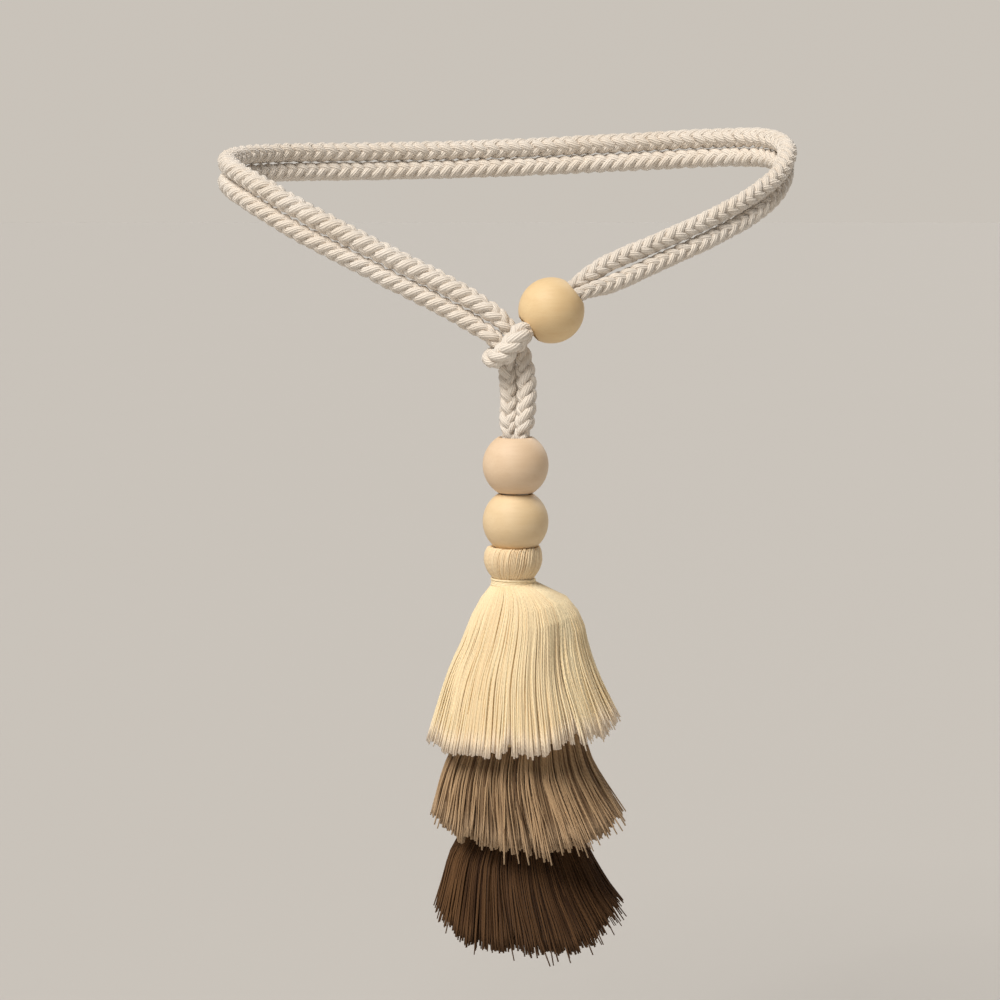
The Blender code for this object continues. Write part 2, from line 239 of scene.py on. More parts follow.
@dataclass(frozen=True)
class CottonFinish:
    """Soft undyed cotton, in strands of loosely twisted yarn.

    Reads the mesh's own ply (around and along each strand) and height. Painted shade darkens the
    cotton between its yarns and where the height is low, deep between the strands.

    Attributes:
        name: Name of the material.
        light: Colour of the lightest cotton.
        warm: Colour of the patches that have yellowed a little.
        painted_shade_and_fibre: Painted shade deep between the strands and yarns, and the colour
            of the darker fibres.
        yarns: Yarns side by side on a strand.
        twist_per_mm: How fast they turn round it, in radians for a millimetre.
        fibre_stretch: Scale of the fibres across and along the strand.
    """

    name: str = "braided_cotton"
    light: Colour = (0.92, 0.855, 0.775)
    warm: Colour = (0.86, 0.775, 0.67)
    painted_shade_and_fibre: Colour = (0.52, 0.42, 0.33)
    yarns: int = 11
    twist_per_mm: float = 0.16
    fibre_stretch: Point = (5.0, 5.0, 0.9)

    def material(self) -> bpy.types.Material:
        """Make the material.

        Returns:
            The new material.
        """
        sheet = FinishSheet(self.name)
        around, along = sheet.thread()
        turned = sheet.maths("MULTIPLY", around, float(self.yarns))
        run = sheet.maths("MULTIPLY", along, self.twist_per_mm * self.yarns)
        yarn = sheet.maths("SINE", sheet.maths("ADD", turned, run))
        yarn_height = sheet.maths("MULTIPLY_ADD", yarn, 0.5, 0.5)
        stretched = sheet.scaled(sheet.attribute("ply", "Vector"), self.fibre_stretch)
        fibre = sheet.noise(stretched, scale=1.6, detail=5.0)
        cloud = sheet.noise(sheet.place(), scale=45.0, detail=3.0)
        height = sheet.attribute("height")
        colour = sheet.blend(sheet.spread(cloud, 0.3, 0.7), rgba(self.light), rgba(self.warm))
        # Painted shade between the yarns of a strand.
        colour = sheet.tinted(colour, self.painted_shade_and_fibre, yarn_height, low=0.5, high=0.0, share=0.30)
        # Darker fibres at random.
        colour = sheet.tinted(colour, self.painted_shade_and_fibre, fibre, low=0.52, high=0.25, share=0.25)
        # Painted shade deep between the strands, where the height is low.
        colour = sheet.tinted(colour, self.painted_shade_and_fibre, height, low=0.86, high=0.45, share=0.75)
        relief = sheet.maths("ADD", sheet.maths("MULTIPLY", yarn_height, 0.8), fibre)
        sheet.set(
            Base_Color=colour,
            Roughness=0.95,
            Specular_IOR_Level=0.15,
            Sheen_Weight=0.35,
            Sheen_Roughness=0.6,
            Normal=sheet.bump(relief, strength=0.75, depth=0.0004),
        )
        return sheet.material


@dataclass(frozen=True)
class YarnFinish:
    """Plied yarn that is dyed in one colour, with painted shade between its plies; it pales
    towards its cut tips, whose frayed ends are paler, lightened further by painted highlight.

    Reads the mesh's own ply, shade and along.

    Attributes:
        name: Name of the material.
        light: Colour of the lightest threads.
        dark: Colour of the darkest threads.
        painted_ply_shade: Painted shade in the hollow between the two plies.
        tip: Colour of the cut tips: their paler frayed fibres, with painted highlight.
        tip_from: Where it begins, as a share of a thread's length.
        tip_share: How much of it shows at the very tip.
        ply_mm: Length of one turn of the plies, in millimetres.
        streak_stretch: Scale of the dye's streaks in each direction.
    """

    name: str
    light: Colour
    dark: Colour
    painted_ply_shade: Colour
    tip: Colour
    tip_from: float
    tip_share: float
    ply_mm: float = 2.2
    streak_stretch: Point = (1.0, 1.0, 0.16)

    def material(self) -> bpy.types.Material:
        """Make the material.

        Returns:
            The new material.
        """
        sheet = FinishSheet(self.name)
        around, along = sheet.thread()
        run = sheet.maths("MULTIPLY", along, math.tau / self.ply_mm)
        doubled = sheet.maths("MULTIPLY_ADD", around, 2.0, run)
        plies = sheet.maths("MULTIPLY_ADD", sheet.maths("SINE", doubled), 0.5, 0.5)
        stretched = sheet.scaled(sheet.place(), self.streak_stretch)
        streak = sheet.maths("MULTIPLY", sheet.noise(stretched, scale=260.0, detail=3.0), 0.35)
        shade = sheet.maths("MULTIPLY_ADD", sheet.attribute("shade"), 0.65, streak)
        cut = sheet.attribute("along")
        colour = sheet.blend(sheet.spread(shade, 0.15, 0.85), rgba(self.light), rgba(self.dark))
        # Paler frayed tips, lightened further as painted highlight.
        colour = sheet.tinted(colour, self.tip, cut, self.tip_from, 1.0, self.tip_share)
        # Painted shade in the hollow between the plies.
        colour = sheet.tinted(colour, self.painted_ply_shade, plies, low=0.35, high=0.0, share=0.28)
        sheet.set(
            Base_Color=colour,
            Roughness=0.72,
            Specular_IOR_Level=0.15,
            Sheen_Weight=0.03,
            Sheen_Roughness=0.5,
            Normal=sheet.bump(plies, strength=0.4, depth=0.0002),
        )
        return sheet.material


@dataclass(frozen=True)
class WoodFinish:
    """Pale turned wood, bare but for a thin satin coat, with a faint grain across the hole.

    Attributes:
        name: Name of the material.
        centre: Middle of the bead in millimetres, where the grain's own axes meet.
        light: Colour of its lightest wood.
        dark: Colour of its darkest wood.
        lie: How the grain's axes are turned, in radians.
        grain_stretch: Scale of the grain along those axes.
    """

    name: str
    centre: Point
    light: Colour
    dark: Colour
    lie: Point = (0.05, 0.0, 0.12)
    grain_stretch: Point = (0.10, 0.6, 1.0)

    def material(self) -> bpy.types.Material:
        """Make the material.

        Returns:
            The new material.
        """
        sheet = FinishSheet(self.name)
        middle = Vector(self.centre) * MM
        inputs = {"Vector": sheet.place(), "Location": middle, "Rotation": self.lie}
        own = sheet.add("ShaderNodeMapping", inputs, vector_type="TEXTURE").outputs[0]
        drawn = sheet.scaled(own, self.grain_stretch)
        figure = sheet.noise(drawn, scale=330.0, detail=4.0)
        pores = sheet.noise(drawn, scale=1500.0, detail=2.0)
        cloud = sheet.noise(own, scale=60.0, detail=2.0)
        tone = sheet.maths("MULTIPLY_ADD", cloud, 0.55, sheet.maths("MULTIPLY", figure, 0.45))
        colour = sheet.blend(sheet.spread(tone, 0.32, 0.68), rgba(self.light), rgba(self.dark))
        sheet.set(
            Base_Color=sheet.tinted(colour, self.dark, pores, low=0.50, high=0.30, share=0.45),
            Roughness=sheet.maths("MULTIPLY_ADD", figure, 0.14, 0.50),
            Specular_IOR_Level=0.3,
            Coat_Weight=0.08,
            Coat_Roughness=0.4,
            Normal=sheet.bump(pores, strength=0.12, depth=0.0001),
        )
        return sheet.material


@dataclass(frozen=True)
class PaperFinish:
    """Matt paper of the floor, faintly mottled.

    Attributes:
        name: Name of the material.
        colour: The paper's colour.
        mottle: Colour that shows through it a little in patches.
    """

    name: str = "pale_paper"
    colour: Colour = (0.52, 0.50, 0.472)
    mottle: Colour = (0.6, 0.6, 0.6)

    def material(self) -> bpy.types.Material:
        """Make the material.

        Returns:
            The new material.
        """
        sheet = FinishSheet(self.name)
        cloud = sheet.noise(sheet.place(), scale=2.0, detail=2.0)
        cover = sheet.maths("MULTIPLY", cloud, 0.04)
        colour = sheet.blend(cover, rgba(self.colour), rgba(self.mottle))
        sheet.set(Base_Color=colour, Roughness=0.95)
        return sheet.material


CREAM_YARN = YarnFinish(
    name="cream_yarn",
    light=(0.93, 0.80, 0.54),
    dark=(0.85, 0.67, 0.42),
    painted_ply_shade=(0.66, 0.48, 0.28),
    tip=(1.0, 0.87, 0.73),
    tip_from=0.86,
    tip_share=0.95,
)
HEAD_YARN = YarnFinish(
    name="head_yarn",
    light=(0.90, 0.73, 0.49),
    dark=(0.82, 0.63, 0.40),
    painted_ply_shade=(0.64, 0.47, 0.28),
    tip=(0.7, 0.5, 0.3),
    tip_from=0.9,
    tip_share=0.0,
)
TAN_YARN = YarnFinish(
    name="tan_yarn",
    light=(0.50, 0.34, 0.195),
    dark=(0.12, 0.068, 0.034),
    painted_ply_shade=(0.10, 0.058, 0.03),
    tip=(0.66, 0.48, 0.31),
    tip_from=0.83,
    tip_share=0.65,
)
BROWN_YARN = YarnFinish(
    name="brown_yarn",
    light=(0.145, 0.073, 0.030),
    dark=(0.038, 0.016, 0.006),
    painted_ply_shade=(0.018, 0.008, 0.003),
    tip=(0.18, 0.10, 0.05),
    tip_from=0.8,
    tip_share=0.3,
)


# ---- Yarn ----------------------------------------------------------------------------
def run_of(line: np.ndarray) -> np.ndarray:
    """Distance along a line to each of its points."""
    return np.concatenate([[0.0], np.cumsum(np.linalg.norm(np.diff(line, axis=0), axis=1))])


def points_at(at: np.ndarray, run: np.ndarray, line: np.ndarray) -> np.ndarray:
    """Points between those of a line.

    Args:
        at: Where the points are wanted, on the scale of run.
        run: A rising value for each point of the line, such as the distance along it.
        line: Points in order.

    Returns:
        One point for each value of at.
    """
    return np.column_stack([np.interp(at, run, part) for part in line.T])


def ripple(phase: np.ndarray, rng: random.Random) -> np.ndarray:
    """A sine wave that starts anywhere in its cycle."""
    return np.sin(phase + rng.uniform(0.0, CYCLE))


def ripples(at: np.ndarray, waves: Pairs, rng: random.Random, level: float = 0.0) -> np.ndarray:
    """Gentle unevenness along a thread.

    Args:
        at: Distances along the thread in millimetres.
        waves: Height of each wave, and its length for one radian in millimetres.
        rng: Source of the waves' starts.
        level: What they rise and fall about.

    Returns:
        Their sum at each distance.
    """
    for height, length in waves:
        level = level + height * ripple(at / length, rng)
    return level


def clamped(value: float, low: float = 0.0, high: float = 1.0) -> float:
    """The value, held between two others."""
    return min(high, max(low, value))


def wrapped(angle: float) -> float:
    """The same angle, between half a turn back and half a turn on."""
    return (angle + math.pi) % math.tau - math.pi


def rounded(line: np.ndarray) -> np.ndarray:
    """The line with its corners cut off twice, its ends kept.

    Args:
        line: Points in order.

    Returns:
        More points, along a smooth curve.
    """
    for _ in range(2):
        first, second = line[:-1], line[1:]
        cut = np.empty((2 * len(first), 3))
        cut[0::2] = 0.75 * first + 0.25 * second
        cut[1::2] = 0.25 * first + 0.75 * second
        line = np.vstack([line[:1], cut[1:-1], line[-1:]])
    return line


class Strand(NamedTuple):
    """One thread or strand: its line in millimetres, its girth along it, and its shade."""

    line: np.ndarray
    girth: np.ndarray
    shade: float


@dataclass
class YarnBundle:
    """Many round threads of one yarn that become one mesh.

    Attributes:
        name: Name of the mesh.
        thickness: The yarn's thickness in millimetres, where its girth is 1.
        roundness: Bevel resolution of the threads.
        strands: The threads.
        apart: How far the twist of a dark thread is ahead of a light one's, in millimetres.
    """

    name: str
    thickness: float
    roundness: int = 1
    strands: list[Strand] = field(default_factory=list)
    apart: float = 40.0

    def sides(self) -> int:
        """How many sides a thread of this bundle has."""
        return 4 + 2 * self.roundness

    def mesh(self) -> bpy.types.Mesh:
        """Sweep all the threads and record on them what their finish reads.

        Returns:
            A mesh with the attributes ply, along and shade.
        """
        curve = bpy.data.curves.new(self.name, "CURVE")
        curve.dimensions = "3D"
        curve.bevel_depth = self.thickness / 2 * MM
        curve.bevel_resolution = self.roundness
        curve.use_fill_caps = True
        for strand in self.strands:
            spline = curve.splines.new("POLY")
            spline.points.add(len(strand.line) - 1)
            spots = np.ones((len(strand.line), 4), np.float32)
            spots[:, :3] = strand.line * MM
            spline.points.foreach_set("co", spots.ravel())
            spline.points.foreach_set("radius", strand.girth.astype(np.float32))
            spline.use_smooth = True
        carrier = add_object(self.name, curve)
        swept = carrier.evaluated_get(bpy.context.evaluated_depsgraph_get())
        mesh = bpy.data.meshes.new_from_object(swept)
        bpy.data.objects.remove(carrier, do_unlink=True)
        bpy.data.curves.remove(curve)
        self.record(mesh)
        return mesh

    def owners(self) -> np.ndarray:
        """The thread point that each vertex of the swept mesh stands round.

        Returns:
            Numbers of points, counted on from thread to thread. The end caps come first,
            from the last thread to the first.
        """
        starts = np.cumsum([0] + [len(strand.line) for strand in self.strands])
        caps = np.column_stack([starts[1:] - 1, starts[:-1]])[::-1].ravel()
        return np.repeat(np.concatenate([caps, np.arange(starts[-1])]), self.sides())

    def record(self, mesh: bpy.types.Mesh) -> None:
        """Write ply, along and shade on the vertices.

        Args:
            mesh: The swept mesh.
        """
        owners = self.owners()
        if len(owners) != len(mesh.vertices):
            raise ValueError(f"{self.name}: {len(mesh.vertices)} vertices, not {len(owners)}")
        runs = [run_of(strand.line) for strand in self.strands]
        run = np.concatenate([run + self.apart * s.shade for run, s in zip(runs, self.strands)])
        along = np.concatenate([run / run[-1] for run in runs])
        shade = np.concatenate([np.full(len(s.line), s.shade) for s in self.strands])
        turn = np.arange(len(owners)) % self.sides() * (math.tau / self.sides())
        ply = np.column_stack([np.cos(turn), np.sin(turn), run[owners]])
        write_attribute(mesh, "ply", "FLOAT_VECTOR", ply)
        write_attribute(mesh, "along", "FLOAT", along[owners])
        write_attribute(mesh, "shade", "FLOAT", shade[owners])


def add_object(name: str, data: bpy.types.ID) -> bpy.types.Object:
    """Put a new object into the scene.

    Args:
        name: Its name.
        data: Its mesh, curve, lamp or camera.

    Returns:
        The object, at the origin.
    """
    thing = bpy.data.objects.new(name, data)
    bpy.context.scene.collection.objects.link(thing)
    return thing


def mesh_from(bm: bmesh.types.BMesh, name: str) -> bpy.types.Mesh:
    """Make a mesh of what was modelled, and let go of the model.

    Args:
        bm: The model.
        name: Name of the mesh.

    Returns:
        The new mesh.
    """
    mesh = bpy.data.meshes.new(name)
    bm.to_mesh(mesh)
    bm.free()
    return mesh


def close_ends(mesh: bpy.types.Mesh) -> None:
    """Join the caps of swept threads to their tubes.

    Args:
        mesh: The swept mesh, which is changed.
    """
    bm = bmesh.new()
    bm.from_mesh(mesh)
    rims = [vert for vert in bm.verts if vert.is_boundary]
    bmesh.ops.remove_doubles(bm, verts=rims, dist=1e-7)
    bm.to_mesh(mesh)
    bm.free()


def write_attribute(mesh: bpy.types.Mesh, name: str, kind: str, values: np.ndarray) -> None:
    """Store one value for each vertex on a mesh.

    Args:
        mesh: The mesh.
        name: Name of the attribute.
        kind: FLOAT or FLOAT_VECTOR.
        values: One number or one row of three for each vertex.
    """
    layer = mesh.attributes.new(name, kind, "POINT")
    field_name = "vector" if kind == "FLOAT_VECTOR" else "value"
    layer.data.foreach_set(field_name, values.astype(np.float32).ravel())


def add_piece(
    name: str, mesh: bpy.types.Mesh, material: bpy.types.Material
) -> bpy.types.Object:
    """Put a finished mesh into the scene as a piece of the tieback.

    Args:
        name: Name of the piece.
        mesh: Its mesh, in place and in metres.
        material: Its finish.

    Returns:
        The new object, riding on the one body.
    """
    mesh.name = name
    mesh.materials.clear()
    mesh.materials.append(material)
    mesh.shade_smooth()
    piece = add_object(name, mesh)
    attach(piece, "root")
    log.info("%s: %d faces", name, len(mesh.polygons))
    return piece


# ---- Rope ----------------------------------------------------------------------------
class Station(NamedTuple):
    """A point midway between the two strands of the doubled rope, as in the part's source."""

    place: Point
    side: Point
    apart: float
    upper: float
    lower: float


class BightPoint(NamedTuple):
    """A point of the fold that is wrapped round the hanging pair."""

    place: Point
    girth: float


PAIR_ROUTE = (
    Station((3.7, -139.0, HEAD_TOP_Z + SEAT), (1.0, -0.75, 0.0), 7.3, 0.71, 0.71),
    Station((3.7, -139.0, -142.0), (1.0, -0.75, 0.0), 7.3, 0.71, 0.71),
    Station((3.7, -139.0, -127.3), (1.0, -0.75, 0.0), 7.3, 0.72, 0.72),
    Station((4.2, -138.4, -121.0), (1.0, -0.75, 0.0), 9.4, 0.95, 0.95),
    Station((4.9, -137.4, -111.0), (1.0, -0.70, 0.0), 9.7, 0.98, 0.98),
    Station((4.4, -136.4, -101.0), (1.0, -0.45, 0.0), 9.1, 0.94, 0.96),
    Station((3.3, -136.0, -92.6), (1.0, -0.15, 0.1), 8.1, 0.84, 0.88),
    Station((-0.1, -135.3, -84.8), (0.9, 0.0, 0.5), 7.6, 0.78, 0.78),
    Station((-4.8, -135.0, -79.0), (0.6, 0.0, 0.7), 8.7, 0.86, 0.85),
    Station((-13.2, -131.8, -73.2), (0.0, 0.0, 1.0), 9.6, 0.99, 0.95),
    Station((-30.0, -126.0, -63.8), (0.0, 0.0, 1.0), 9.9, 1.05, 0.95),
    Station((-52.0, -120.0, -53.0), (0.0, 0.0, 1.0), 10.0, 1.06, 0.95),
    Station((-76.0, -113.4, -41.0), (0.0, 0.0, 1.0), 10.0, 1.06, 0.93),
    Station((-98.0, -104.4, -29.6), (0.0, 0.0, 1.0), 10.3, 1.06, 0.93),
    Station((-117.0, -92.0, -18.6), (0.0, 0.0, 1.0), 10.2, 1.05, 0.95),
    Station((-129.4, -76.0, -11.4), (0.0, 0.0, 1.0), 9.9, 1.02, 0.98),
    Station((-134.0, -56.0, -7.0), (0.0, 0.0, 1.0), 9.9, 1.0, 1.0),
    Station((-127.0, -33.0, -3.8), (0.0, 0.0, 1.0), 9.9, 1.0, 1.0),
    Station((-107.0, -13.5, -2.4), (0.0, 0.0, 1.0), 9.9, 1.0, 1.0),
    Station((-60.0, 1.5, -1.6), (0.0, 0.0, 1.0), 9.9, 1.0, 1.0),
    Station((0.0, 4.9, 0.0), (0.0, 0.0, 1.0), 9.9, 1.0, 1.0),
    Station((60.0, 1.5, 2.8), (0.0, 0.0, 1.0), 9.9, 1.0, 1.0),
    Station((107.0, -13.5, 4.8), (0.0, 0.0, 1.0), 9.9, 1.0, 1.0),
    Station((127.0, -33.0, 4.0), (0.0, 0.0, 1.0), 9.9, 1.0, 1.0),
    Station((133.6, -56.0, -1.4), (0.1, 0.0, 1.0), 9.7, 0.98, 0.98),
    Station((128.0, -77.0, -12.8), (0.2, 0.0, 1.0), 9.4, 0.95, 0.93),
    Station((114.0, -92.8, -23.8), (0.1, 0.0, 1.0), 9.2, 0.93, 0.91),
    Station((93.0, -106.4, -34.6), (0.0, 0.0, 1.0), 9.1, 0.92, 0.90),
    Station((69.0, -116.6, -45.0), (0.0, 0.1, 1.0), 9.1, 0.92, 0.90),
    Station((46.0, -125.2, -54.8), (0.0, 0.35, 1.0), 9.5, 0.91, 0.91),
    Station((30.7, -132.6, -62.2), (0.0, 0.85, 0.6), 7.5, 0.71, 0.71),
    Station((19.9, -133.9, -70.8), (0.0, 1.0, 0.25), 7.7, 0.69, 0.69),
    Station((9.5, -135.1, -79.1), (0.0, 1.0, 0.0), 7.5, 0.68, 0.68),
)

BIGHT = (
    BightPoint((5.9, -127.6, -81.7), 0.86),
    BightPoint((0.6, -127.0, -86.0), 0.94),
    BightPoint((-4.8, -129.0, -90.2), 0.92),
    BightPoint((-7.8, -136.0, -92.2), 0.90),
    BightPoint((-4.6, -143.3, -92.0), 1.02),
    BightPoint((0.6, -145.2, -88.0), 1.20),
    BightPoint((5.6, -144.8, -81.4), 1.22),
)


class Facing(NamedTuple):
    """Which column of the braid faces forward in one part of the rope.

    The column is an angle in degrees round the braid: 45 is the middle of a column that
    climbs to the right, 135 of one that climbs to the left, and 90 the seam between them.
    Lean is how much wider the columns are that climb to the left.
    """

    low: Point
    high: Point
    column: float
    lean: float


FACINGS = (
    Facing((4.6, -150.0, -127.0), (14.0, -125.0, -97.0), 45.0, -0.30),
    Facing((-8.0, -150.0, -127.0), (4.5, -125.0, -97.0), 90.0, 0.0),
    Facing((-126.0, -150.0, -82.0), (-12.0, -88.0, -5.0), 135.0, 0.32),
    Facing((36.0, -150.0, -70.0), (126.0, -80.0, -8.0), 90.0, 0.10),
    Facing((-7.0, -150.0, -95.0), (6.0, -141.5, -82.0), 45.0, -0.20),
)
FRONT = (0.0, -0.994, 0.113)
STRANDS = 8


@dataclass
class RopeRoute:
    """The middle line of the whole rope, from one end in the head round to the other.

    Attributes:
        pair: Stations of the doubled rope.
        bight: Points of its fold.
        step: Distance between samples in millimetres.
        fine_step: Distance between the points that they are taken from.
        closer: The strands' distance, as a share of that in the solid.
        fuller: Their thickness, as a share of that in the solid.
    """

    pair: tuple[Station, ...] = PAIR_ROUTE
    bight: tuple[BightPoint, ...] = BIGHT
    step: float = 1.0
    fine_step: float = 0.5
    closer: float = 0.965
    fuller: float = 1.05

    def strand(self, upper: bool) -> list[tuple[Vector, float]]:
        """The upper or the lower strand of the pair.

        Args:
            upper: Whether it is the strand that lies higher on the loop.

        Returns:
            Its point and girth at each station.
        """
        middles = [Vector(s.place) for s in self.pair]
        sign = 0.5 if upper else -0.5
        knots = []
        for i, station in enumerate(self.pair):
            ahead, behind = middles[min(i + 1, len(middles) - 1)], middles[max(i - 1, 0)]
            along = (ahead - behind).normalized()
            side = Vector(station.side)
            side = (side - side.dot(along) * along).normalized()
            girth = (station.upper if upper else station.lower) * self.fuller
            knots.append((middles[i] + side * (station.apart * self.closer * sign), girth))
        return knots

    def knots(self) -> tuple[np.ndarray, np.ndarray]:
        """What the rope passes through.

        Returns:
            Points in order, and the girth at each.
        """
        bight = [(Vector(p.place), p.girth) for p in self.bight]
        knots = self.strand(True) + bight + self.strand(False)[::-1]
        places, girths = zip(*knots)
        return np.array([tuple(place) for place in places]), np.array(girths)

    def sample(self) -> tuple[np.ndarray, np.ndarray]:
        """The smooth middle line.

        Returns:
            Evenly spaced points in millimetres, and the girth at each.
        """
        points, girths = self.knots()
        points = np.vstack([2 * points[0] - points[1], points, 2 * points[-1] - points[-2]])
        line, girth_at = [points[1]], [girths[0]]
        for i in range(1, len(points) - 2):
            p0, p1, p2, p3 = points[i - 1 : i + 3]
            gaps = [math.sqrt(np.linalg.norm(b - a)) for a, b in ((p0, p1), (p1, p2), (p2, p3))]
            t0, t1, t2, t3 = np.concatenate([[0.0], np.cumsum(gaps)])
            count = math.ceil(np.linalg.norm(p2 - p1) / self.fine_step)
            for share in np.arange(1, count + 1) / count:
                t = t1 + (t2 - t1) * share
                a1 = self.between(p0, p1, t0, t1, t)
                a2 = self.between(p1, p2, t1, t2, t)
                a3 = self.between(p2, p3, t2, t3, t)
                b1 = self.between(a1, a2, t0, t2, t)
                b2 = self.between(a2, a3, t1, t3, t)
                line.append(self.between(b1, b2, t1, t2, t))
                ease = share * share * (3 - 2 * share)
                girth_at.append(girths[i - 1] * (1 - ease) + girths[i] * ease)
        return self.evenly(np.array(line), np.array(girth_at))

    def evenly(self, line: np.ndarray, girth: np.ndarray) -> tuple[np.ndarray, np.ndarray]:
        """Space the samples evenly along the line.

        Args:
            line: Points in order.
            girth: The girth at each.

        Returns:
            Evenly spaced points, and the girth at each.
        """
        run = run_of(line)
        at = np.linspace(0.0, run[-1], round(run[-1] / self.step) + 1)
        return points_at(at, run, line), np.interp(at, run, girth)

    @staticmethod
    def between(p: np.ndarray, q: np.ndarray, a: float, b: float, t: float) -> np.ndarray:
        """The point at time t on the line that is at p at time a and at q at time b."""
        return p * ((b - t) / (b - a)) + q * ((t - a) / (b - a))


def unit(vectors: np.ndarray) -> np.ndarray:
    """The same directions, all of length 1."""
    return vectors / np.linalg.norm(vectors, axis=-1, keepdims=True)


@dataclass
class Rope:
    """The round-braided rope: eight strands, four turning each way, over two and under two.

    Attributes:
        route: The rope's middle line.
        lay: Length of one full turn of a strand, in millimetres.
        per_lay: Points on a strand in one lay.
        strand_d: Thickness of a strand.
        middle_r: Mean distance of a strand from the rope's middle.
        swing: How far a strand moves out and in as it passes over and under.
        square: How fast it changes from one to the other.
        wander: Waves by which it strays round the rope, in radians.
        uneven: Waves of its girth.
        facings: Which columns face forward, part by part.
        easing: Over how many points the roll changes from part to part.
        full_r: The braid's outside, as a share of the rope's radius.
        soft_from: Where the strands begin to be pressed flat, as a share of that outside.
        press: How quickly they flatten from there on.
        give: How far they reach in the end, as a share of the way to that outside.
        finish: The cotton.
        seed: Start of the random draws.
    """

    route: RopeRoute = field(default_factory=RopeRoute)
    lay: float = 23.5
    per_lay: int = 20
    strand_d: float = 4.3
    middle_r: float = 1.95
    swing: float = 0.85
    square: float = 1.5
    wander: Pairs = ((0.10, 41.0), (0.06, 13.0))
    uneven: Pairs = ((0.04, 7.3), (0.03, 3.1))
    facings: tuple[Facing, ...] = FACINGS
    easing: int = 25
    full_r: float = 1.03
    soft_from: float = 0.86
    press: float = 0.95
    give: float = 1.06
    finish: CottonFinish = field(default_factory=CottonFinish)
    seed: int = 11

    def frames(self, line: np.ndarray) -> tuple[np.ndarray, np.ndarray]:
        """Two directions across the rope at each point, carried along without twist.

        Args:
            line: The middle line.

        Returns:
            The two directions, square to the line and to each other.
        """
        along = unit(np.gradient(line, axis=0))
        across = np.empty_like(line)
        first = Vector(along[0]).orthogonal().normalized()
        across[0] = first
        for i in range(1, len(line)):
            carried = across[i - 1] - along[i] * across[i - 1].dot(along[i])
            across[i] = carried / np.linalg.norm(carried)
        return across, np.cross(along, across)

    def turns(self, line: np.ndarray) -> tuple[np.ndarray, np.ndarray]:
        """How the braid is rolled about its middle line.

        Args:
            line: The middle line.

        Returns:
            The roll in radians and the lean at each point, smoothed along the rope.
        """
        across, up = self.axes
        front = np.array(FRONT)
        face = np.arctan2(up @ front, across @ front)
        at = np.arange(len(line))
        held, rolls, leans = [], [], []
        last = 0.0
        for run, column, lean in self.facing_runs(line):
            roll = np.unwrap(face[run] - math.radians(column), period=math.pi)
            roll += round((last - roll[0]) / math.pi) * math.pi
            held.extend(run)
            rolls.extend(roll)
            leans.extend([lean] * len(run))
            last = roll[-1]
        window = np.hanning(self.easing)
        window /= window.sum()
        eased = []
        for values in (rolls, leans):
            wide = np.pad(np.interp(at, held, values), self.easing // 2, mode="edge")
            eased.append(np.convolve(wide, window, mode="valid"))
        return eased[0], eased[1]

    def facing_runs(self, line: np.ndarray) -> list[tuple[np.ndarray, float, float]]:
        """The stretches of the rope that have a set column in front.

        Args:
            line: The middle line.

        Returns:
            For each stretch in order, the numbers of its points, its column and its lean.
        """
        owner = np.full(len(line), -1)
        for number, facing in enumerate(self.facings):
            inside = np.all((line > facing.low) & (line < facing.high), axis=1)
            owner[inside] = number
        runs = np.split(np.arange(len(line)), np.flatnonzero(np.diff(owner)) + 1)
        named = [(run, self.facings[owner[run[0]]]) for run in runs if owner[run[0]] >= 0]
        return [(run, facing.column, facing.lean) for run, facing in named]

    def strand_line(self, hand: Hand, start: float, rng: random.Random) -> Strand:
        """One strand of the braid.

        Args:
            hand: The way it turns.
            start: Its angle at the rope's end.
            rng: Source of small unevenness.

        Returns:
            The strand on the whole length of the rope.
        """
        line, girth = self.line
        across, up = self.axes
        run = run_of(line)
        at = np.linspace(0.0, run[-1], round(run[-1] / self.lay * self.per_lay) + 1)
        drift = ripples(at, self.wander, rng)
        angle = hand.value * (math.tau * at / self.lay + drift) + start
        lean = np.interp(at, run, self.twist[1])
        column = (np.cos(2 * (angle - math.pi / 4)) - lean) * hand.value
        wave = np.tanh(self.square * column) / math.tanh(self.square)
        size = np.interp(at, run, girth)
        radius = (self.middle_r + self.swing * wave) * size
        turned = angle + np.interp(at, run, self.twist[0])
        spot, side, rise = (points_at(at, run, part) for part in (line, across, up))
        spot += (side * np.cos(turned)[:, None] + rise * np.sin(turned)[:, None]) * radius[:, None]
        return Strand(spot, size * ripples(at, self.uneven, rng, 1.0), rng.random())

    def flatten(self, mesh: bpy.types.Mesh, owners: np.ndarray) -> None:
        """Press the strands to the rope's round outside and note how high each point stands.

        Args:
            mesh: The swept strands.
            owners: The strand point that each vertex belongs to.
        """
        line, girth = self.line
        spots = np.empty(len(mesh.vertices) * 3, np.float32)
        mesh.vertices.foreach_get("co", spots)
        spots = spots.reshape(-1, 3).astype(float) / MM
        per_strand = (int(owners.max()) + 1) // STRANDS
        at = (owners % per_strand) * (len(line) - 1) / (per_strand - 1)
        numbers = np.arange(len(line))
        middle = points_at(at, numbers, line)
        limit = ROPE_D / 2 * self.full_r * np.interp(at, numbers, girth)
        out = spots - middle
        reach = np.linalg.norm(out, axis=1)
        start = limit * self.soft_from
        over = np.clip((reach - start) / (limit - start), 0.0, None)
        held = start + (limit - start) * np.tanh(over * self.press) * self.give
        pressed = np.where(over > 0, held, reach)
        spots = middle + out * (pressed / np.maximum(reach, 1e-6))[:, None]
        mesh.vertices.foreach_set("co", (spots * MM).astype(np.float32).ravel())
        write_attribute(mesh, "height", "FLOAT", pressed / limit)

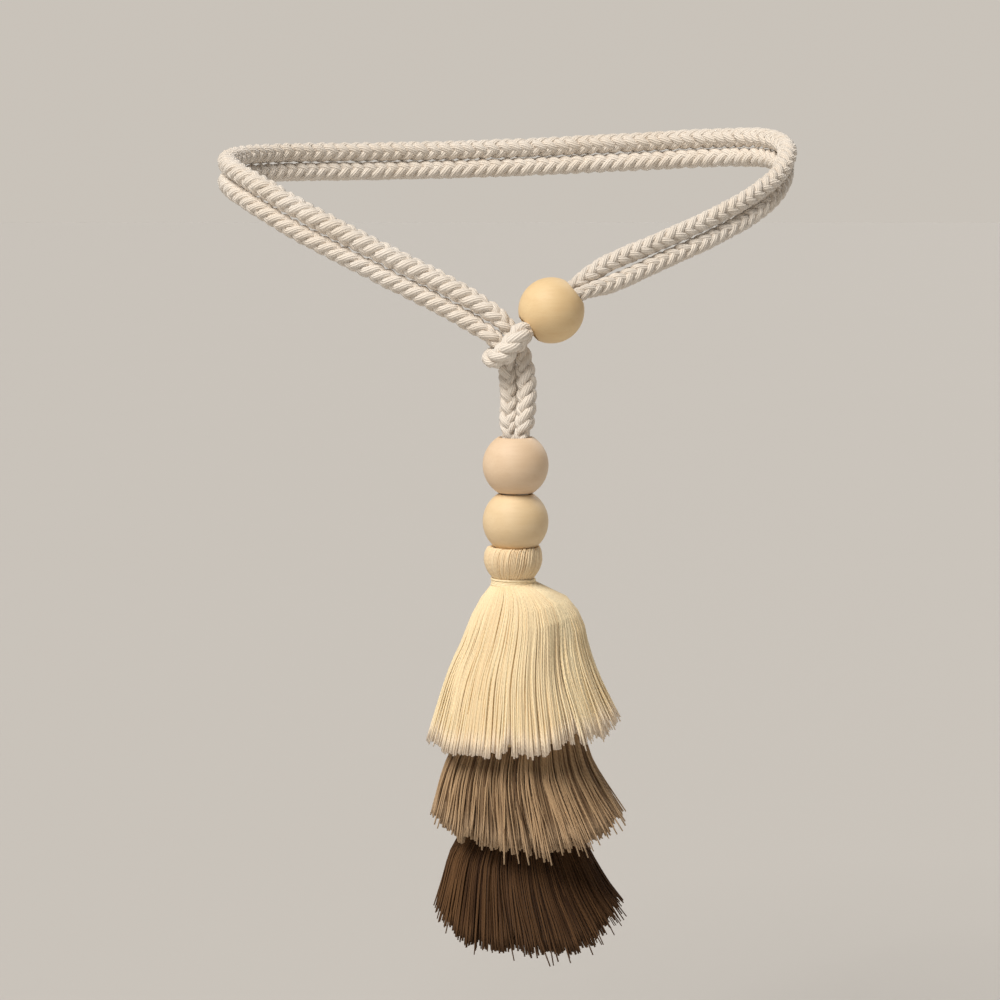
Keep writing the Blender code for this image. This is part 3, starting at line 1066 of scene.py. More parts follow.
    def build(self) -> bpy.types.Object:
        """Returns:
            The rope's piece.
        """
        self.line = self.route.sample()
        self.axes = self.frames(self.line[0])
        self.twist = self.turns(self.line[0])
        rng = random.Random(self.seed)
        bundle = YarnBundle("rope_braid", self.strand_d)
        for hand, offset in ((Hand.RIGHT, 0.0), (Hand.LEFT, math.pi / 4)):
            for k in range(STRANDS // 2):
                bundle.strands.append(self.strand_line(hand, k * math.pi / 2 + offset, rng))
        mesh = bundle.mesh()
        self.flatten(mesh, bundle.owners())
        close_ends(mesh)
        piece = add_piece("rope_braid", mesh, self.finish.material())
        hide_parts("rope")
        return piece


# ---- Beads ---------------------------------------------------------------------------
@dataclass
class Bead:
    """A drilled wooden ball.

    Attributes:
        node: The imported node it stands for.
        centre: Its middle in millimetres.
        light: Colour of its lightest wood.
        dark: Colour of its darkest wood.
        axis: Direction of its hole.
        diameter: Diameter of the ball in millimetres.
        hole: Diameter of its hole.
        rim: Width of the rounded edge between hole and ball.
        rim_round: Points of that edge, in and down from the ball's end, as shares of rim.
        segments: Flats round the hole.
        arc_steps: Flats from one rim to the other.
    """

    node: str
    centre: Point
    light: Colour
    dark: Colour
    axis: Point = (0.0, 0.0, 1.0)
    diameter: float = BEAD_D
    hole: float = BEAD_HOLE_D
    rim: float = 0.5
    rim_round: Pairs = ((0.14, 0.10), (0.0, 0.5))
    segments: int = 72
    arc_steps: int = 30

    def section(self) -> list[tuple[float, float]]:
        """Half of the ball's section.

        Returns:
            Radius and height of its points, from inside the top rim round to the bottom.
        """
        outer, hole = self.diameter / 2, self.hole / 2
        top = math.acos((hole + self.rim) / outer)
        points = []
        for step in range(self.arc_steps + 1):
            angle = top - 2 * top * step / self.arc_steps
            points.append((outer * math.cos(angle), outer * math.sin(angle)))
        high = points[0][1]
        rounds = [(hole + out * self.rim, high - down * self.rim) for out, down in self.rim_round]
        return [*rounds[::-1], *points, *((r, -z) for r, z in rounds)]

    def build(self) -> bpy.types.Object:
        """Turn the ball and put it on its hole's axis.

        Returns:
            The bead's piece.
        """
        bm = bmesh.new()
        section = [bm.verts.new((r * MM, 0.0, z * MM)) for r, z in self.section()]
        edges = [bm.edges.new(pair) for pair in zip(section, section[1:] + section[:1])]
        bmesh.ops.spin(
            bm,
            geom=section + edges,
            cent=(0.0, 0.0, 0.0),
            axis=(0.0, 0.0, 1.0),
            angle=math.tau,
            steps=self.segments,
            use_merge=True,
        )
        bmesh.ops.remove_doubles(bm, verts=bm.verts, dist=0.00001)
        bmesh.ops.recalc_face_normals(bm, faces=bm.faces)
        turned = Vector(self.axis).to_track_quat("Z", "Y").to_matrix()
        bmesh.ops.rotate(bm, verts=bm.verts, cent=(0.0, 0.0, 0.0), matrix=turned)
        bmesh.ops.translate(bm, verts=bm.verts, vec=Vector(self.centre) * MM)
        mesh = mesh_from(bm, self.node)
        finish = WoodFinish(f"{self.node}_wood", self.centre, self.light, self.dark)
        piece = add_piece(f"{self.node}_ball", mesh, finish.material())
        mesh.set_sharp_from_angle(angle=math.radians(50.0))
        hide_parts(self.node)
        return piece


CINCH_BEAD = Bead(
    node="cinch_bead",
    centre=CINCH_BEAD_AT,
    light=(0.84, 0.64, 0.37),
    dark=(0.76, 0.54, 0.29),
    axis=CINCH_BEAD_AXIS,
    hole=BEAD_HOLE_D - 1.8,
)
UPPER_BEAD = Bead(
    node="upper_bead",
    centre=(TASSEL_X, TASSEL_Y, UPPER_BEAD_Z),
    light=(0.80, 0.62, 0.44),
    dark=(0.72, 0.53, 0.35),
)
LOWER_BEAD = Bead(
    node="lower_bead",
    centre=(TASSEL_X, TASSEL_Y, LOWER_BEAD_Z),
    light=(0.82, 0.64, 0.41),
    dark=(0.74, 0.55, 0.32),
)


# ---- Tassel --------------------------------------------------------------------------
class Row(NamedTuple):
    """One level of a bundle of hanging yarn: its reach to each side of its middle."""

    z: float
    mid: float
    half: float
    front: float
    back: float


class Dent(NamedTuple):
    """A hollow, or a swelling where depth is negative, in one direction of a skirt."""

    angle: float
    width: float
    depth: float
    top: float
    bottom: float


class Spray(NamedTuple):
    """Loose threads that stand out from a skirt in one direction.

    Out is how far their tips stand from the skirt, drop how much lower they end, and shade
    the tone that they share.
    """

    angle: float
    width: float
    count: int
    out: float
    drop: float
    shade: float


@dataclass(frozen=True)
class Unevenness:
    """How much hand-tied yarn varies. A span holds the limits of an even draw.

    Attributes:
        place: How far a thread or lock lies from its even place, as a share of the gap.
        lock_inset: How far inside its layer a lock's tips lie, in millimetres.
        lock_pull: How strongly a lock gathers, as a share of the skirt's pull.
        lock_tone: Spread of the locks' tones.
        loft: How far inside its lock a thread's tip lies, as a share of the skirt's loft.
        notch: How much of the notch beside its lock a thread shares.
        long_share: Share of the threads that end lower than the rest.
        long_by: How much lower they end, in millimetres.
        bends: Radians of a thread's sideways wave over its length.
        weave: How far it goes in and out, as a share of the distance between layers.
        weaves: Radians of that wave over its length.
        girth: Thickness of a thread, as a share of the usual one.
        light_tone: Tones of the lighter threads.
        tone: Spread of the other threads' tones.
        painted_layer_shade: How much darker each layer is than the one outside it, as painted
            shade.
        bend: Spread of a thread's sideways waves, as a share of the skirt's drift.
        trim: How much shorter than the tip line every thread is, in millimetres.
        notch_from: Where beside a lock its notch begins, as a share of half the gap.
        notch_slope: How steeply it deepens, as a share of the skirt's notch.
        notch_most: The deepest that it goes, in millimetres.
        core_girth: Thickness of the threads that fill the underside, as a share.
        core_ragged: Spread of their ends' heights in millimetres.
        core_trim: How far above the underside they end, in millimetres.
        loose_inset: How far inside the form a loose thread starts, in millimetres.
        loose_ends: Spread of the loose threads' ends in millimetres.
        loose_sway: Spread of their turns round the skirt, in radians.
        loose_out: How far they stand out, as a share of what their spray says.
        loose_tone: Spread of their tones.
        loose_girth: Their thickness, as a share of the other threads'.
    """

    place: float = 0.35
    lock_inset: Span = (-0.3, 0.6)
    lock_pull: Span = (0.1, 1.3)
    lock_tone: float = 0.08
    loft: Span = (-0.6, 1.0)
    notch: Span = (0.4, 1.4)
    long_share: float = 0.02
    long_by: Span = (0.5, 2.0)
    bends: Span = (4.0, 9.0)
    weave: Span = (0.25, 0.6)
    weaves: Span = (3.0, 9.0)
    girth: Span = (0.84, 1.14)
    light_tone: Span = (0.0, 0.3)
    tone: float = 0.18
    painted_layer_shade: float = 0.07
    bend: float = 0.7
    trim: float = 0.2
    notch_from: float = 0.6
    notch_slope: float = 7.0
    notch_most: float = 5.0
    core_girth: Span = (1.0, 1.3)
    core_ragged: float = 1.0
    core_trim: float = 0.3
    loose_inset: float = 0.2
    loose_ends: float = 1.6
    loose_sway: float = 0.03
    loose_out: Span = (0.3, 1.15)
    loose_tone: float = 0.12
    loose_girth: float = 0.75


UNEVEN = Unevenness()


@dataclass
class Skirt:
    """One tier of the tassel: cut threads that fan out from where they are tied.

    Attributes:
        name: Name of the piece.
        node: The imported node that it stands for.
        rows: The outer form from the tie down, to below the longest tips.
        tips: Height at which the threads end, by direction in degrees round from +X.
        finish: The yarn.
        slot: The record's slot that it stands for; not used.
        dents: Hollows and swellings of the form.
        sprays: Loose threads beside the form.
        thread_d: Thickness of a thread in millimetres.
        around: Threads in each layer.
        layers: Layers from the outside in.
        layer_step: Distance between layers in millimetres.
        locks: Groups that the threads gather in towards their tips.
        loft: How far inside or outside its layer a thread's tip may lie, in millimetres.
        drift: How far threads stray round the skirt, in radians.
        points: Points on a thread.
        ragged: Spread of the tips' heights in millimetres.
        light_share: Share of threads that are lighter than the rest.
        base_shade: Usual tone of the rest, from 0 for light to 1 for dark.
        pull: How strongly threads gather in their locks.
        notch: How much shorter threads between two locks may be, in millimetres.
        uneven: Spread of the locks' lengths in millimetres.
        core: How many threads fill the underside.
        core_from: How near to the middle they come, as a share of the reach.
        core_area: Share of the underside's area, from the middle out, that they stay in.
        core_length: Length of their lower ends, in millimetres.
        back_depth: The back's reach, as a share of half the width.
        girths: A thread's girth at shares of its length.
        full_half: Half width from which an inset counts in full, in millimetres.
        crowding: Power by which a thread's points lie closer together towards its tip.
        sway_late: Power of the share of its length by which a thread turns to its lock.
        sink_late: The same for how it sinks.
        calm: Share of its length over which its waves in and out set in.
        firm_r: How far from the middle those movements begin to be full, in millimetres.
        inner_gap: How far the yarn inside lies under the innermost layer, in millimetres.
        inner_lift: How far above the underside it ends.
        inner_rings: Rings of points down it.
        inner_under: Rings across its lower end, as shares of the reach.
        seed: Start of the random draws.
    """

    name: str
    node: str
    rows: tuple[Row, ...]
    tips: dict[float, float]
    finish: YarnFinish
    slot: Slot
    dents: tuple[Dent, ...] = ()
    sprays: tuple[Spray, ...] = ()
    thread_d: float = 1.0
    around: int = 260
    layers: int = 4
    layer_step: float = 1.0
    locks: int = 60
    loft: float = 0.5
    drift: float = 0.015
    points: int = 12
    ragged: float = 0.9
    light_share: float = 0.25
    base_shade: float = 0.62
    pull: float = 0.45
    notch: float = 2.0
    uneven: float = 0.9
    core: int = 0
    core_from: float = 0.0
    core_area: float = 0.93
    core_length: float = 22.0
    back_depth: float = 0.55
    girths: Pairs = ((0.0, 0.55), (0.12, 0.7), (0.35, 1.0), (0.9, 1.0), (1.0, 0.85))
    full_half: float = 20.0
    crowding: float = 0.85
    sway_late: float = 2.2
    sink_late: float = 1.7
    calm: float = 0.25
    firm_r: float = 6.0
    inner_gap: float = 0.4
    inner_lift: float = 4.0
    inner_rings: int = 16
    inner_under: tuple[float, ...] = (0.7, 0.4, 0.12)
    seed: int = 1

    def form(self, angle: float, inset: float) -> np.ndarray:
        """The line down the skirt's outside in one direction.

        Args:
            angle: Direction round from +X, in radians.
            inset: How far inside the outside it lies, in millimetres.

        Returns:
            Points from the tie down to below the tips.
        """
        across, deep = math.cos(angle), math.sin(angle)
        line = []
        for row in self.rows:
            reach = row.back if deep > 0 else row.front
            sunk = inset * min(1.0, row.half / self.full_half)
            sunk += sum(self.dent_at(dent, angle, row.z) for dent in self.dents)
            share = max(0.1, 1 - sunk / row.half)
            x = row.mid + across * row.half * share
            line.append((x, TASSEL_Y + deep * reach * share, row.z))
        return rounded(np.array(line))

    def middle(self, z: np.ndarray) -> np.ndarray:
        """How far to the right the skirt's middle lies at the given heights."""
        return np.interp(-z, [-row.z for row in self.rows], [row.mid for row in self.rows])

    def within(self, line: np.ndarray, z: np.ndarray, share: float) -> np.ndarray:
        """Points between the skirt's middle and a line down its outside.

        Args:
            line: The line down the outside.
            z: Heights of the points.
            share: 0 at the middle and 1 on the line.

        Returns:
            One point for each height.
        """
        middle = np.column_stack([self.middle(z), np.full(len(z), TASSEL_Y)])
        outside = points_at(-z, -line[:, 2], line[:, :2])
        return np.column_stack([middle + (outside - middle) * share, z])

    @staticmethod
    def dent_at(dent: Dent, angle: float, z: float) -> float:
        """How deep a dent is, fading out to its sides, above it and below it.

        Args:
            dent: The dent.
            angle: Direction round from +X, in radians.
            z: Height.

        Returns:
            Its depth there in millimetres.
        """
        off = wrapped(angle - math.radians(dent.angle))
        side = math.exp(-((off / math.radians(dent.width)) ** 2))
        level = (dent.top - z) / (dent.top - dent.bottom)
        return dent.depth * side * math.sin(math.pi * clamped(level))

    def tip_z(self, angle: float) -> float:
        """Height at which threads end in a direction."""
        degrees, heights = list(self.tips), list(self.tips.values())
        return float(np.interp(math.degrees(angle) % 360, degrees, heights, period=360))

    def thread(
        self, angle: float, inset: float, sink: float, drop: float, sway: float, rng: random.Random
    ) -> Strand:
        """One thread from the tie to its cut tip.

        Args:
            angle: Its direction at the tie, in radians.
            inset: How far inside the outside it lies.
            sink: How much deeper its tip lies.
            drop: How much lower than the tip line it ends.
            sway: How far round it has moved at its tip, in radians.
            rng: Source of its small bends.

        Returns:
            The thread, all of one shade still to be set.
        """
        line = self.form(angle, inset)
        run = run_of(line)
        length = float(np.interp(drop - self.tip_z(angle + sway), -line[:, 2], run))
        share = np.linspace(0.0, 1.0, self.points) ** self.crowding
        spot = points_at(share * length, run, line)
        middle = self.middle(spot[:, 2])
        bend = rng.gauss(0.0, self.drift * UNEVEN.bend)
        turn = sway * share**self.sway_late
        turn += bend * ripple(share * rng.uniform(*UNEVEN.bends), rng)
        dx, dy = spot[:, 0] - middle, spot[:, 1] - TASSEL_Y
        weave = rng.uniform(*UNEVEN.weave) * self.layer_step
        setting_in = np.minimum(1.0, share / self.calm)
        weave *= ripple(share * rng.uniform(*UNEVEN.weaves), rng) * setting_in
        reach = np.maximum(np.hypot(dx, dy), self.firm_r)
        size = 1 + (weave - sink * share**self.sink_late) / reach
        lowest = self.rows[-1]
        squash = lowest.front / lowest.half if math.sin(angle) < 0 else self.back_depth
        spot[:, 0] = middle + (dx * np.cos(turn) - dy / squash * np.sin(turn)) * size
        spot[:, 1] = TASSEL_Y + (dx * squash * np.sin(turn) + dy * np.cos(turn)) * size
        girth = np.interp(share, *zip(*self.girths))
        return Strand(spot, girth * rng.uniform(*UNEVEN.girth), 0.5)

    def shade(self, rng: random.Random) -> float:
        """Draw the tone of a thread.

        Args:
            rng: Source of the draw.

        Returns:
            0 for light to 1 for dark.
        """
        if rng.random() < self.light_share:
            return rng.uniform(*UNEVEN.light_tone)
        return clamped(rng.gauss(self.base_shade, UNEVEN.tone), low=UNEVEN.light_tone[1])

    def laid_threads(self, rng: random.Random) -> list[Strand]:
        """Lay the threads of all the layers, gathered in locks towards their tips.

        Args:
            rng: Source of their unevenness.

        Returns:
            The threads, from the outermost layer inwards.
        """
        locks = range(self.locks)
        place = UNEVEN.place
        centres = [(i + rng.uniform(-place, place)) / self.locks * math.tau for i in locks]
        insets = [rng.uniform(*UNEVEN.lock_inset) for _ in locks]
        drops = [rng.gauss(0.0, self.uneven) for _ in locks]
        pulls = [self.pull * rng.uniform(*UNEVEN.lock_pull) for _ in locks]
        tones = [rng.gauss(0.0, UNEVEN.lock_tone) for _ in locks]
        notches = [self.notch * rng.random() ** 3 * UNEVEN.notch_slope for _ in locks]
        strands = []
        for layer in range(self.layers):
            for i in range(self.around):
                angle = (i + layer * 0.5 + rng.uniform(-place, place)) / self.around * math.tau
                offs = [wrapped(centre - angle) for centre in centres]
                lock = min(locks, key=lambda k: abs(offs[k]))
                inset = self.thread_d / 2 + layer * self.layer_step
                sink = insets[lock] + rng.uniform(*UNEVEN.loft) * self.loft
                drop = drops[lock] - abs(rng.gauss(0.0, self.ragged)) - UNEVEN.trim
                beside = abs(offs[lock]) / (math.pi / self.locks)
                shorter = notches[lock] * max(0.0, beside - UNEVEN.notch_from)
                drop -= min(UNEVEN.notch_most, shorter) * rng.uniform(*UNEVEN.notch)
                if rng.random() < UNEVEN.long_share:
                    drop += rng.uniform(*UNEVEN.long_by)
                sway = offs[lock] * pulls[lock] + rng.gauss(0.0, self.drift)
                strand = self.thread(angle, inset, sink, drop, sway, rng)
                # Inner layers are darker by painted shade.
                tone = self.shade(rng) + tones[lock] + UNEVEN.painted_layer_shade * layer
                strands.append(strand._replace(shade=clamped(tone)))
        return strands

    def under_z(self, angle: float, share: float) -> float:
        """Height of the underside at a share of the reach in one direction.

        Args:
            angle: Direction round from +X, in radians.
            share: 0 at the middle and 1 at the outside.

        Returns:
            The height, which depends on how far to the side the place is.
        """
        level = math.acos(clamped(share * math.cos(angle), low=-1.0))
        front = 0.5 - 0.5 * share * math.sin(angle) / max(math.sin(level), 1e-6)
        return front * self.tip_z(-level) + (1.0 - front) * self.tip_z(level)

    def core_threads(self, rng: random.Random) -> list[Strand]:
        """Make the lower ends of the threads inside the bundle.

        Args:
            rng: Source of their unevenness.

        Returns:
            The threads, all upright.
        """
        strands = []
        for _ in range(self.core):
            angle = rng.uniform(0.0, math.tau)
            share = math.sqrt(rng.uniform(self.core_from**2, self.core_area))
            low = self.under_z(angle, share) + abs(rng.gauss(0.0, UNEVEN.core_ragged))
            low += UNEVEN.core_trim
            z = np.linspace(low + self.core_length, low, 5)
            spots = self.within(self.form(angle, 0.0), z, share)
            girth = np.full(len(z), rng.uniform(*UNEVEN.core_girth))
            strands.append(Strand(spots, girth, self.shade(rng)))
        return strands

    def loose_threads(self, rng: random.Random) -> list[Strand]:
        """Make the threads that stand out beside the form.

        Args:
            rng: Source of their unevenness.

        Returns:
            The threads, spray by spray.
        """
        strands = []
        for spray in self.sprays:
            for _ in range(spray.count):
                angle = math.radians(rng.gauss(spray.angle, spray.width))
                drop = spray.drop + rng.gauss(0.0, UNEVEN.loose_ends)
                sway = rng.gauss(0.0, UNEVEN.loose_sway)
                strand = self.thread(angle, UNEVEN.loose_inset, 0.0, drop, sway, rng)
                share = np.linspace(0.0, 1.0, self.points)
                out = spray.out * rng.uniform(*UNEVEN.loose_out) * share**2
                strand.line[:, 0] += out * math.cos(angle)
                strand.line[:, 1] += out * math.sin(angle)
                tone = clamped(rng.gauss(spray.shade, UNEVEN.loose_tone))
                strands.append(Strand(strand.line, strand.girth * UNEVEN.loose_girth, tone))
        return strands

    def inner_yarn(self) -> bpy.types.Mesh:
        """The yarn inside the outer layers, as one closed form.

        Returns:
            A mesh that lies under the innermost layer and carries what the finish reads, in the
            darkest tone as painted shade.
        """
        bm = bmesh.new()
        inset = self.layers * self.layer_step + self.inner_gap
        segments = 64
        angles = [i / segments * math.tau for i in range(segments)]
        lines = [self.form(angle, inset) for angle in angles]
        rings = []
        last = self.inner_rings - 1
        levels = [(number / last, 1.0) for number in range(self.inner_rings)]
        levels += [(1.0, share) for share in self.inner_under]
        for drop, share in levels:
            ring = bmesh.ops.create_circle(bm, segments=segments, radius=1.0)["verts"]
            for vert, line, angle in zip(ring, lines, angles):
                lowest = self.under_z(angle, share) + self.inner_lift
                z = line[0][2] + (lowest - line[0][2]) * drop
                vert.co = Vector(self.within(line, np.array([z]), share)[0]) * MM
            rings.append(list({edge for vert in ring for edge in vert.link_edges}))
        for upper, lower in zip(rings, rings[1:]):
            bmesh.ops.bridge_loops(bm, edges=upper + lower)
        bmesh.ops.holes_fill(bm, edges=rings[0] + rings[-1], sides=0)
        bmesh.ops.remove_doubles(bm, verts=bm.verts, dist=0.00002)
        bmesh.ops.recalc_face_normals(bm, faces=bm.faces)
        mesh = mesh_from(bm, self.name)
        count = len(mesh.vertices)
        write_attribute(mesh, "ply", "FLOAT_VECTOR", np.tile((1.0, 0.0, 0.0), (count, 1)))
        write_attribute(mesh, "along", "FLOAT", np.zeros(count))
        # The inner yarn takes the darkest tone, as painted shade inside the bundle.
        write_attribute(mesh, "shade", "FLOAT", np.ones(count))
        return mesh

    def build(self) -> bpy.types.Object:
        """Make the skirt's threads and what lies inside them.

        Returns:
            The skirt's piece.
        """
        rng = random.Random(self.seed)
        threads = self.laid_threads(rng) + self.loose_threads(rng) + self.core_threads(rng)
        mesh = YarnBundle(self.name, self.thread_d, 0, threads).mesh()
        close_ends(mesh)
        inner = self.inner_yarn()
        bm = bmesh.new()
        bm.from_mesh(mesh)
        bm.from_mesh(inner)
        bm.to_mesh(mesh)
        bm.free()
        bpy.data.meshes.remove(inner)
        piece = add_piece(self.name, mesh, self.finish.material())
        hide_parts(self.node)
        return piece


CREAM_SKIRT = Skirt(
    name="cream_skirt",
    node="cream_tassel",
    rows=(
        Row(-193.5, 2.7, 8.3, 8.3, 8.3),
        Row(-196.4, 2.9, 9.6, 9.4, 9.2),
        Row(-197.3, 4.6, 13.0, 12.6, 11.4),
        Row(-198.9, 6.6, 16.8, 16.4, 13.8),
        Row(-202.4, 7.9, 20.4, 20.0, 15.6),
        Row(-207.5, 8.2, 23.4, 23.0, 16.8),
        Row(-212.1, 8.2, 25.6, 25.0, 17.8),
        Row(-221.4, 7.2, 27.6, 27.4, 19.2),
        Row(-230.6, 5.9, 30.9, 30.6, 20.4),
        Row(-239.9, 5.4, 33.8, 33.2, 21.4),
        Row(-249.3, 5.6, 36.6, 36.0, 22.2),
        Row(-258.6, 5.8, 39.2, 38.4, 22.8),
        Row(-278.0, 6.0, 44.6, 42.6, 23.8),
    ),
    tips={
        20: -260.0, 60: -264.0, 90: -266.0, 130: -267.5, 165: -267.0, 194: -267.7, 212: -269.4,
        229: -269.8, 243: -268.6, 255: -267.6, 277: -267.7, 283: -268.2, 295: -266.1,
        301: -264.8, 308: -262.2, 316: -260.7, 325: -259.2, 340: -259.2, 357: -259.6,
    },
    finish=CREAM_YARN,
    slot=Slot.CREAM,
    dents=(Dent(311.0, 11.0, 2.4, -203.0, -250.0), Dent(283.0, 7.0, 0.9, -225.0, -275.0)),
    # The sprays on the right have light tones: partly lighter strands that the tassel has, partly
    # painted light that brightens the side turned from the key lamp.
    sprays=(
        Spray(352.0, 13.0, 70, 6.8, -2.0, 0.5),
        Spray(338.0, 10.0, 34, 4.0, 1.0, 0.2),
        Spray(324.0, 9.0, 90, 1.6, 0.8, 0.0),
        Spray(185.0, 10.0, 14, 1.4, -0.5, 0.2),
    ),
    thread_d=0.98,
    around=290,
    layer_step=0.55,
    locks=76,
    loft=0.4,
    drift=0.010,
    ragged=1.25,
    pull=0.24,
    seed=3,
)

TAN_SKIRT = Skirt(
    name="tan_skirt_threads",
    node="tan_skirt",
    rows=(
        Row(-242.5, 9.2, 8.0, 8.0, 7.0),
        Row(-244.6, 9.2, 13.0, 12.4, 9.6),
        Row(-249.0, 9.0, 18.5, 17.6, 12.2),
        Row(-256.5, 8.2, 24.0, 22.8, 14.6),
        Row(-266.0, 6.6, 29.0, 27.6, 16.6),
        Row(-276.0, 5.6, 32.6, 31.0, 18.2),
        Row(-282.0, 6.0, 35.3, 33.0, 19.2),
        Row(-287.8, 6.9, 37.8, 35.2, 20.0),
        Row(-293.7, 8.0, 40.3, 37.2, 20.8),
        Row(-301.0, 9.4, 43.4, 39.8, 21.8),
        Row(-322.0, 12.6, 52.0, 44.0, 24.0),
    ),
    tips={
        10: -301.5, 40: -304.5, 90: -309.0, 140: -305.0, 170: -301.0, 187: -300.4, 198: -302.2,
        207: -304.4, 218: -307.0, 226: -308.2, 233: -307.2, 240: -309.0, 247: -311.3,
        263: -311.8, 282: -311.8, 288: -310.8, 300: -310.0, 313: -307.7, 322: -306.1,
        333: -303.6, 348: -301.4,
    },
    finish=TAN_YARN,
    slot=Slot.TAN,
    sprays=(
        Spray(325.0, 18.0, 18, 1.8, 0.6, 0.02),
        Spray(262.0, 10.0, 3, 0.6, 3.8, 0.1),
        Spray(293.0, 5.0, 22, 1.2, -0.2, 0.05),
        Spray(276.0, 2.0, 14, 0.8, 0.8, 0.1),
        Spray(195.0, 12.0, 24, 1.2, 0.0, 0.1),
    ),
    thread_d=0.98,
    around=240,
    layer_step=0.7,
    locks=90,
    loft=1.1,
    drift=0.020,
    ragged=1.5,
    light_share=0.34,
    base_shade=0.80,
    pull=0.3,
    uneven=1.2,
    core=500,
    core_from=0.66,
    seed=8,
)

BROWN_SKIRT = Skirt(
    name="brown_skirt_threads",
    node="brown_skirt",
    rows=(
        Row(-291.5, 9.2, 8.0, 8.0, 7.0),
        Row(-293.6, 9.0, 12.5, 12.0, 9.4),
        Row(-298.0, 8.0, 17.5, 16.8, 11.8),
        Row(-306.0, 6.8, 24.0, 22.8, 14.4),
        Row(-314.0, 6.0, 29.2, 27.4, 16.2),
        Row(-319.7, 5.8, 32.3, 30.0, 17.4),
        Row(-327.2, 6.8, 35.2, 32.6, 18.8),
        Row(-335.3, 8.1, 38.4, 35.2, 19.8),
        Row(-342.4, 9.9, 42.0, 37.2, 20.8),
        Row(-350.0, 11.5, 45.6, 39.0, 21.8),
        Row(-374.0, 16.5, 56.0, 43.0, 24.0),
    ),
    tips={
        10: -343.0, 40: -350.0, 90: -357.0, 140: -352.0, 170: -346.5, 187: -346.2, 199: -347.5,
        207: -349.0, 214: -351.6, 223: -356.4, 231: -357.8, 246: -357.6, 258: -357.6,
        270: -358.2, 282: -359.6, 288: -359.3, 295: -357.9, 302: -356.2, 309: -354.4,
        318: -350.7, 328: -347.2, 340: -344.0, 352: -342.4,
    },
    finish=BROWN_YARN,
    slot=Slot.BROWN,
    sprays=(
        Spray(335.0, 14.0, 40, 1.8, 0.0, 0.6),
        Spray(200.0, 9.0, 22, 1.0, 0.0, 0.0),
        Spray(265.0, 26.0, 16, 0.4, 1.6, 0.5),
    ),
    thread_d=0.92,
    around=255,
    layer_step=0.6,
    locks=80,
    loft=0.5,
    drift=0.012,
    ragged=1.5,
    light_share=0.2,
    pull=0.25,
    core=900,
    seed=21,
)


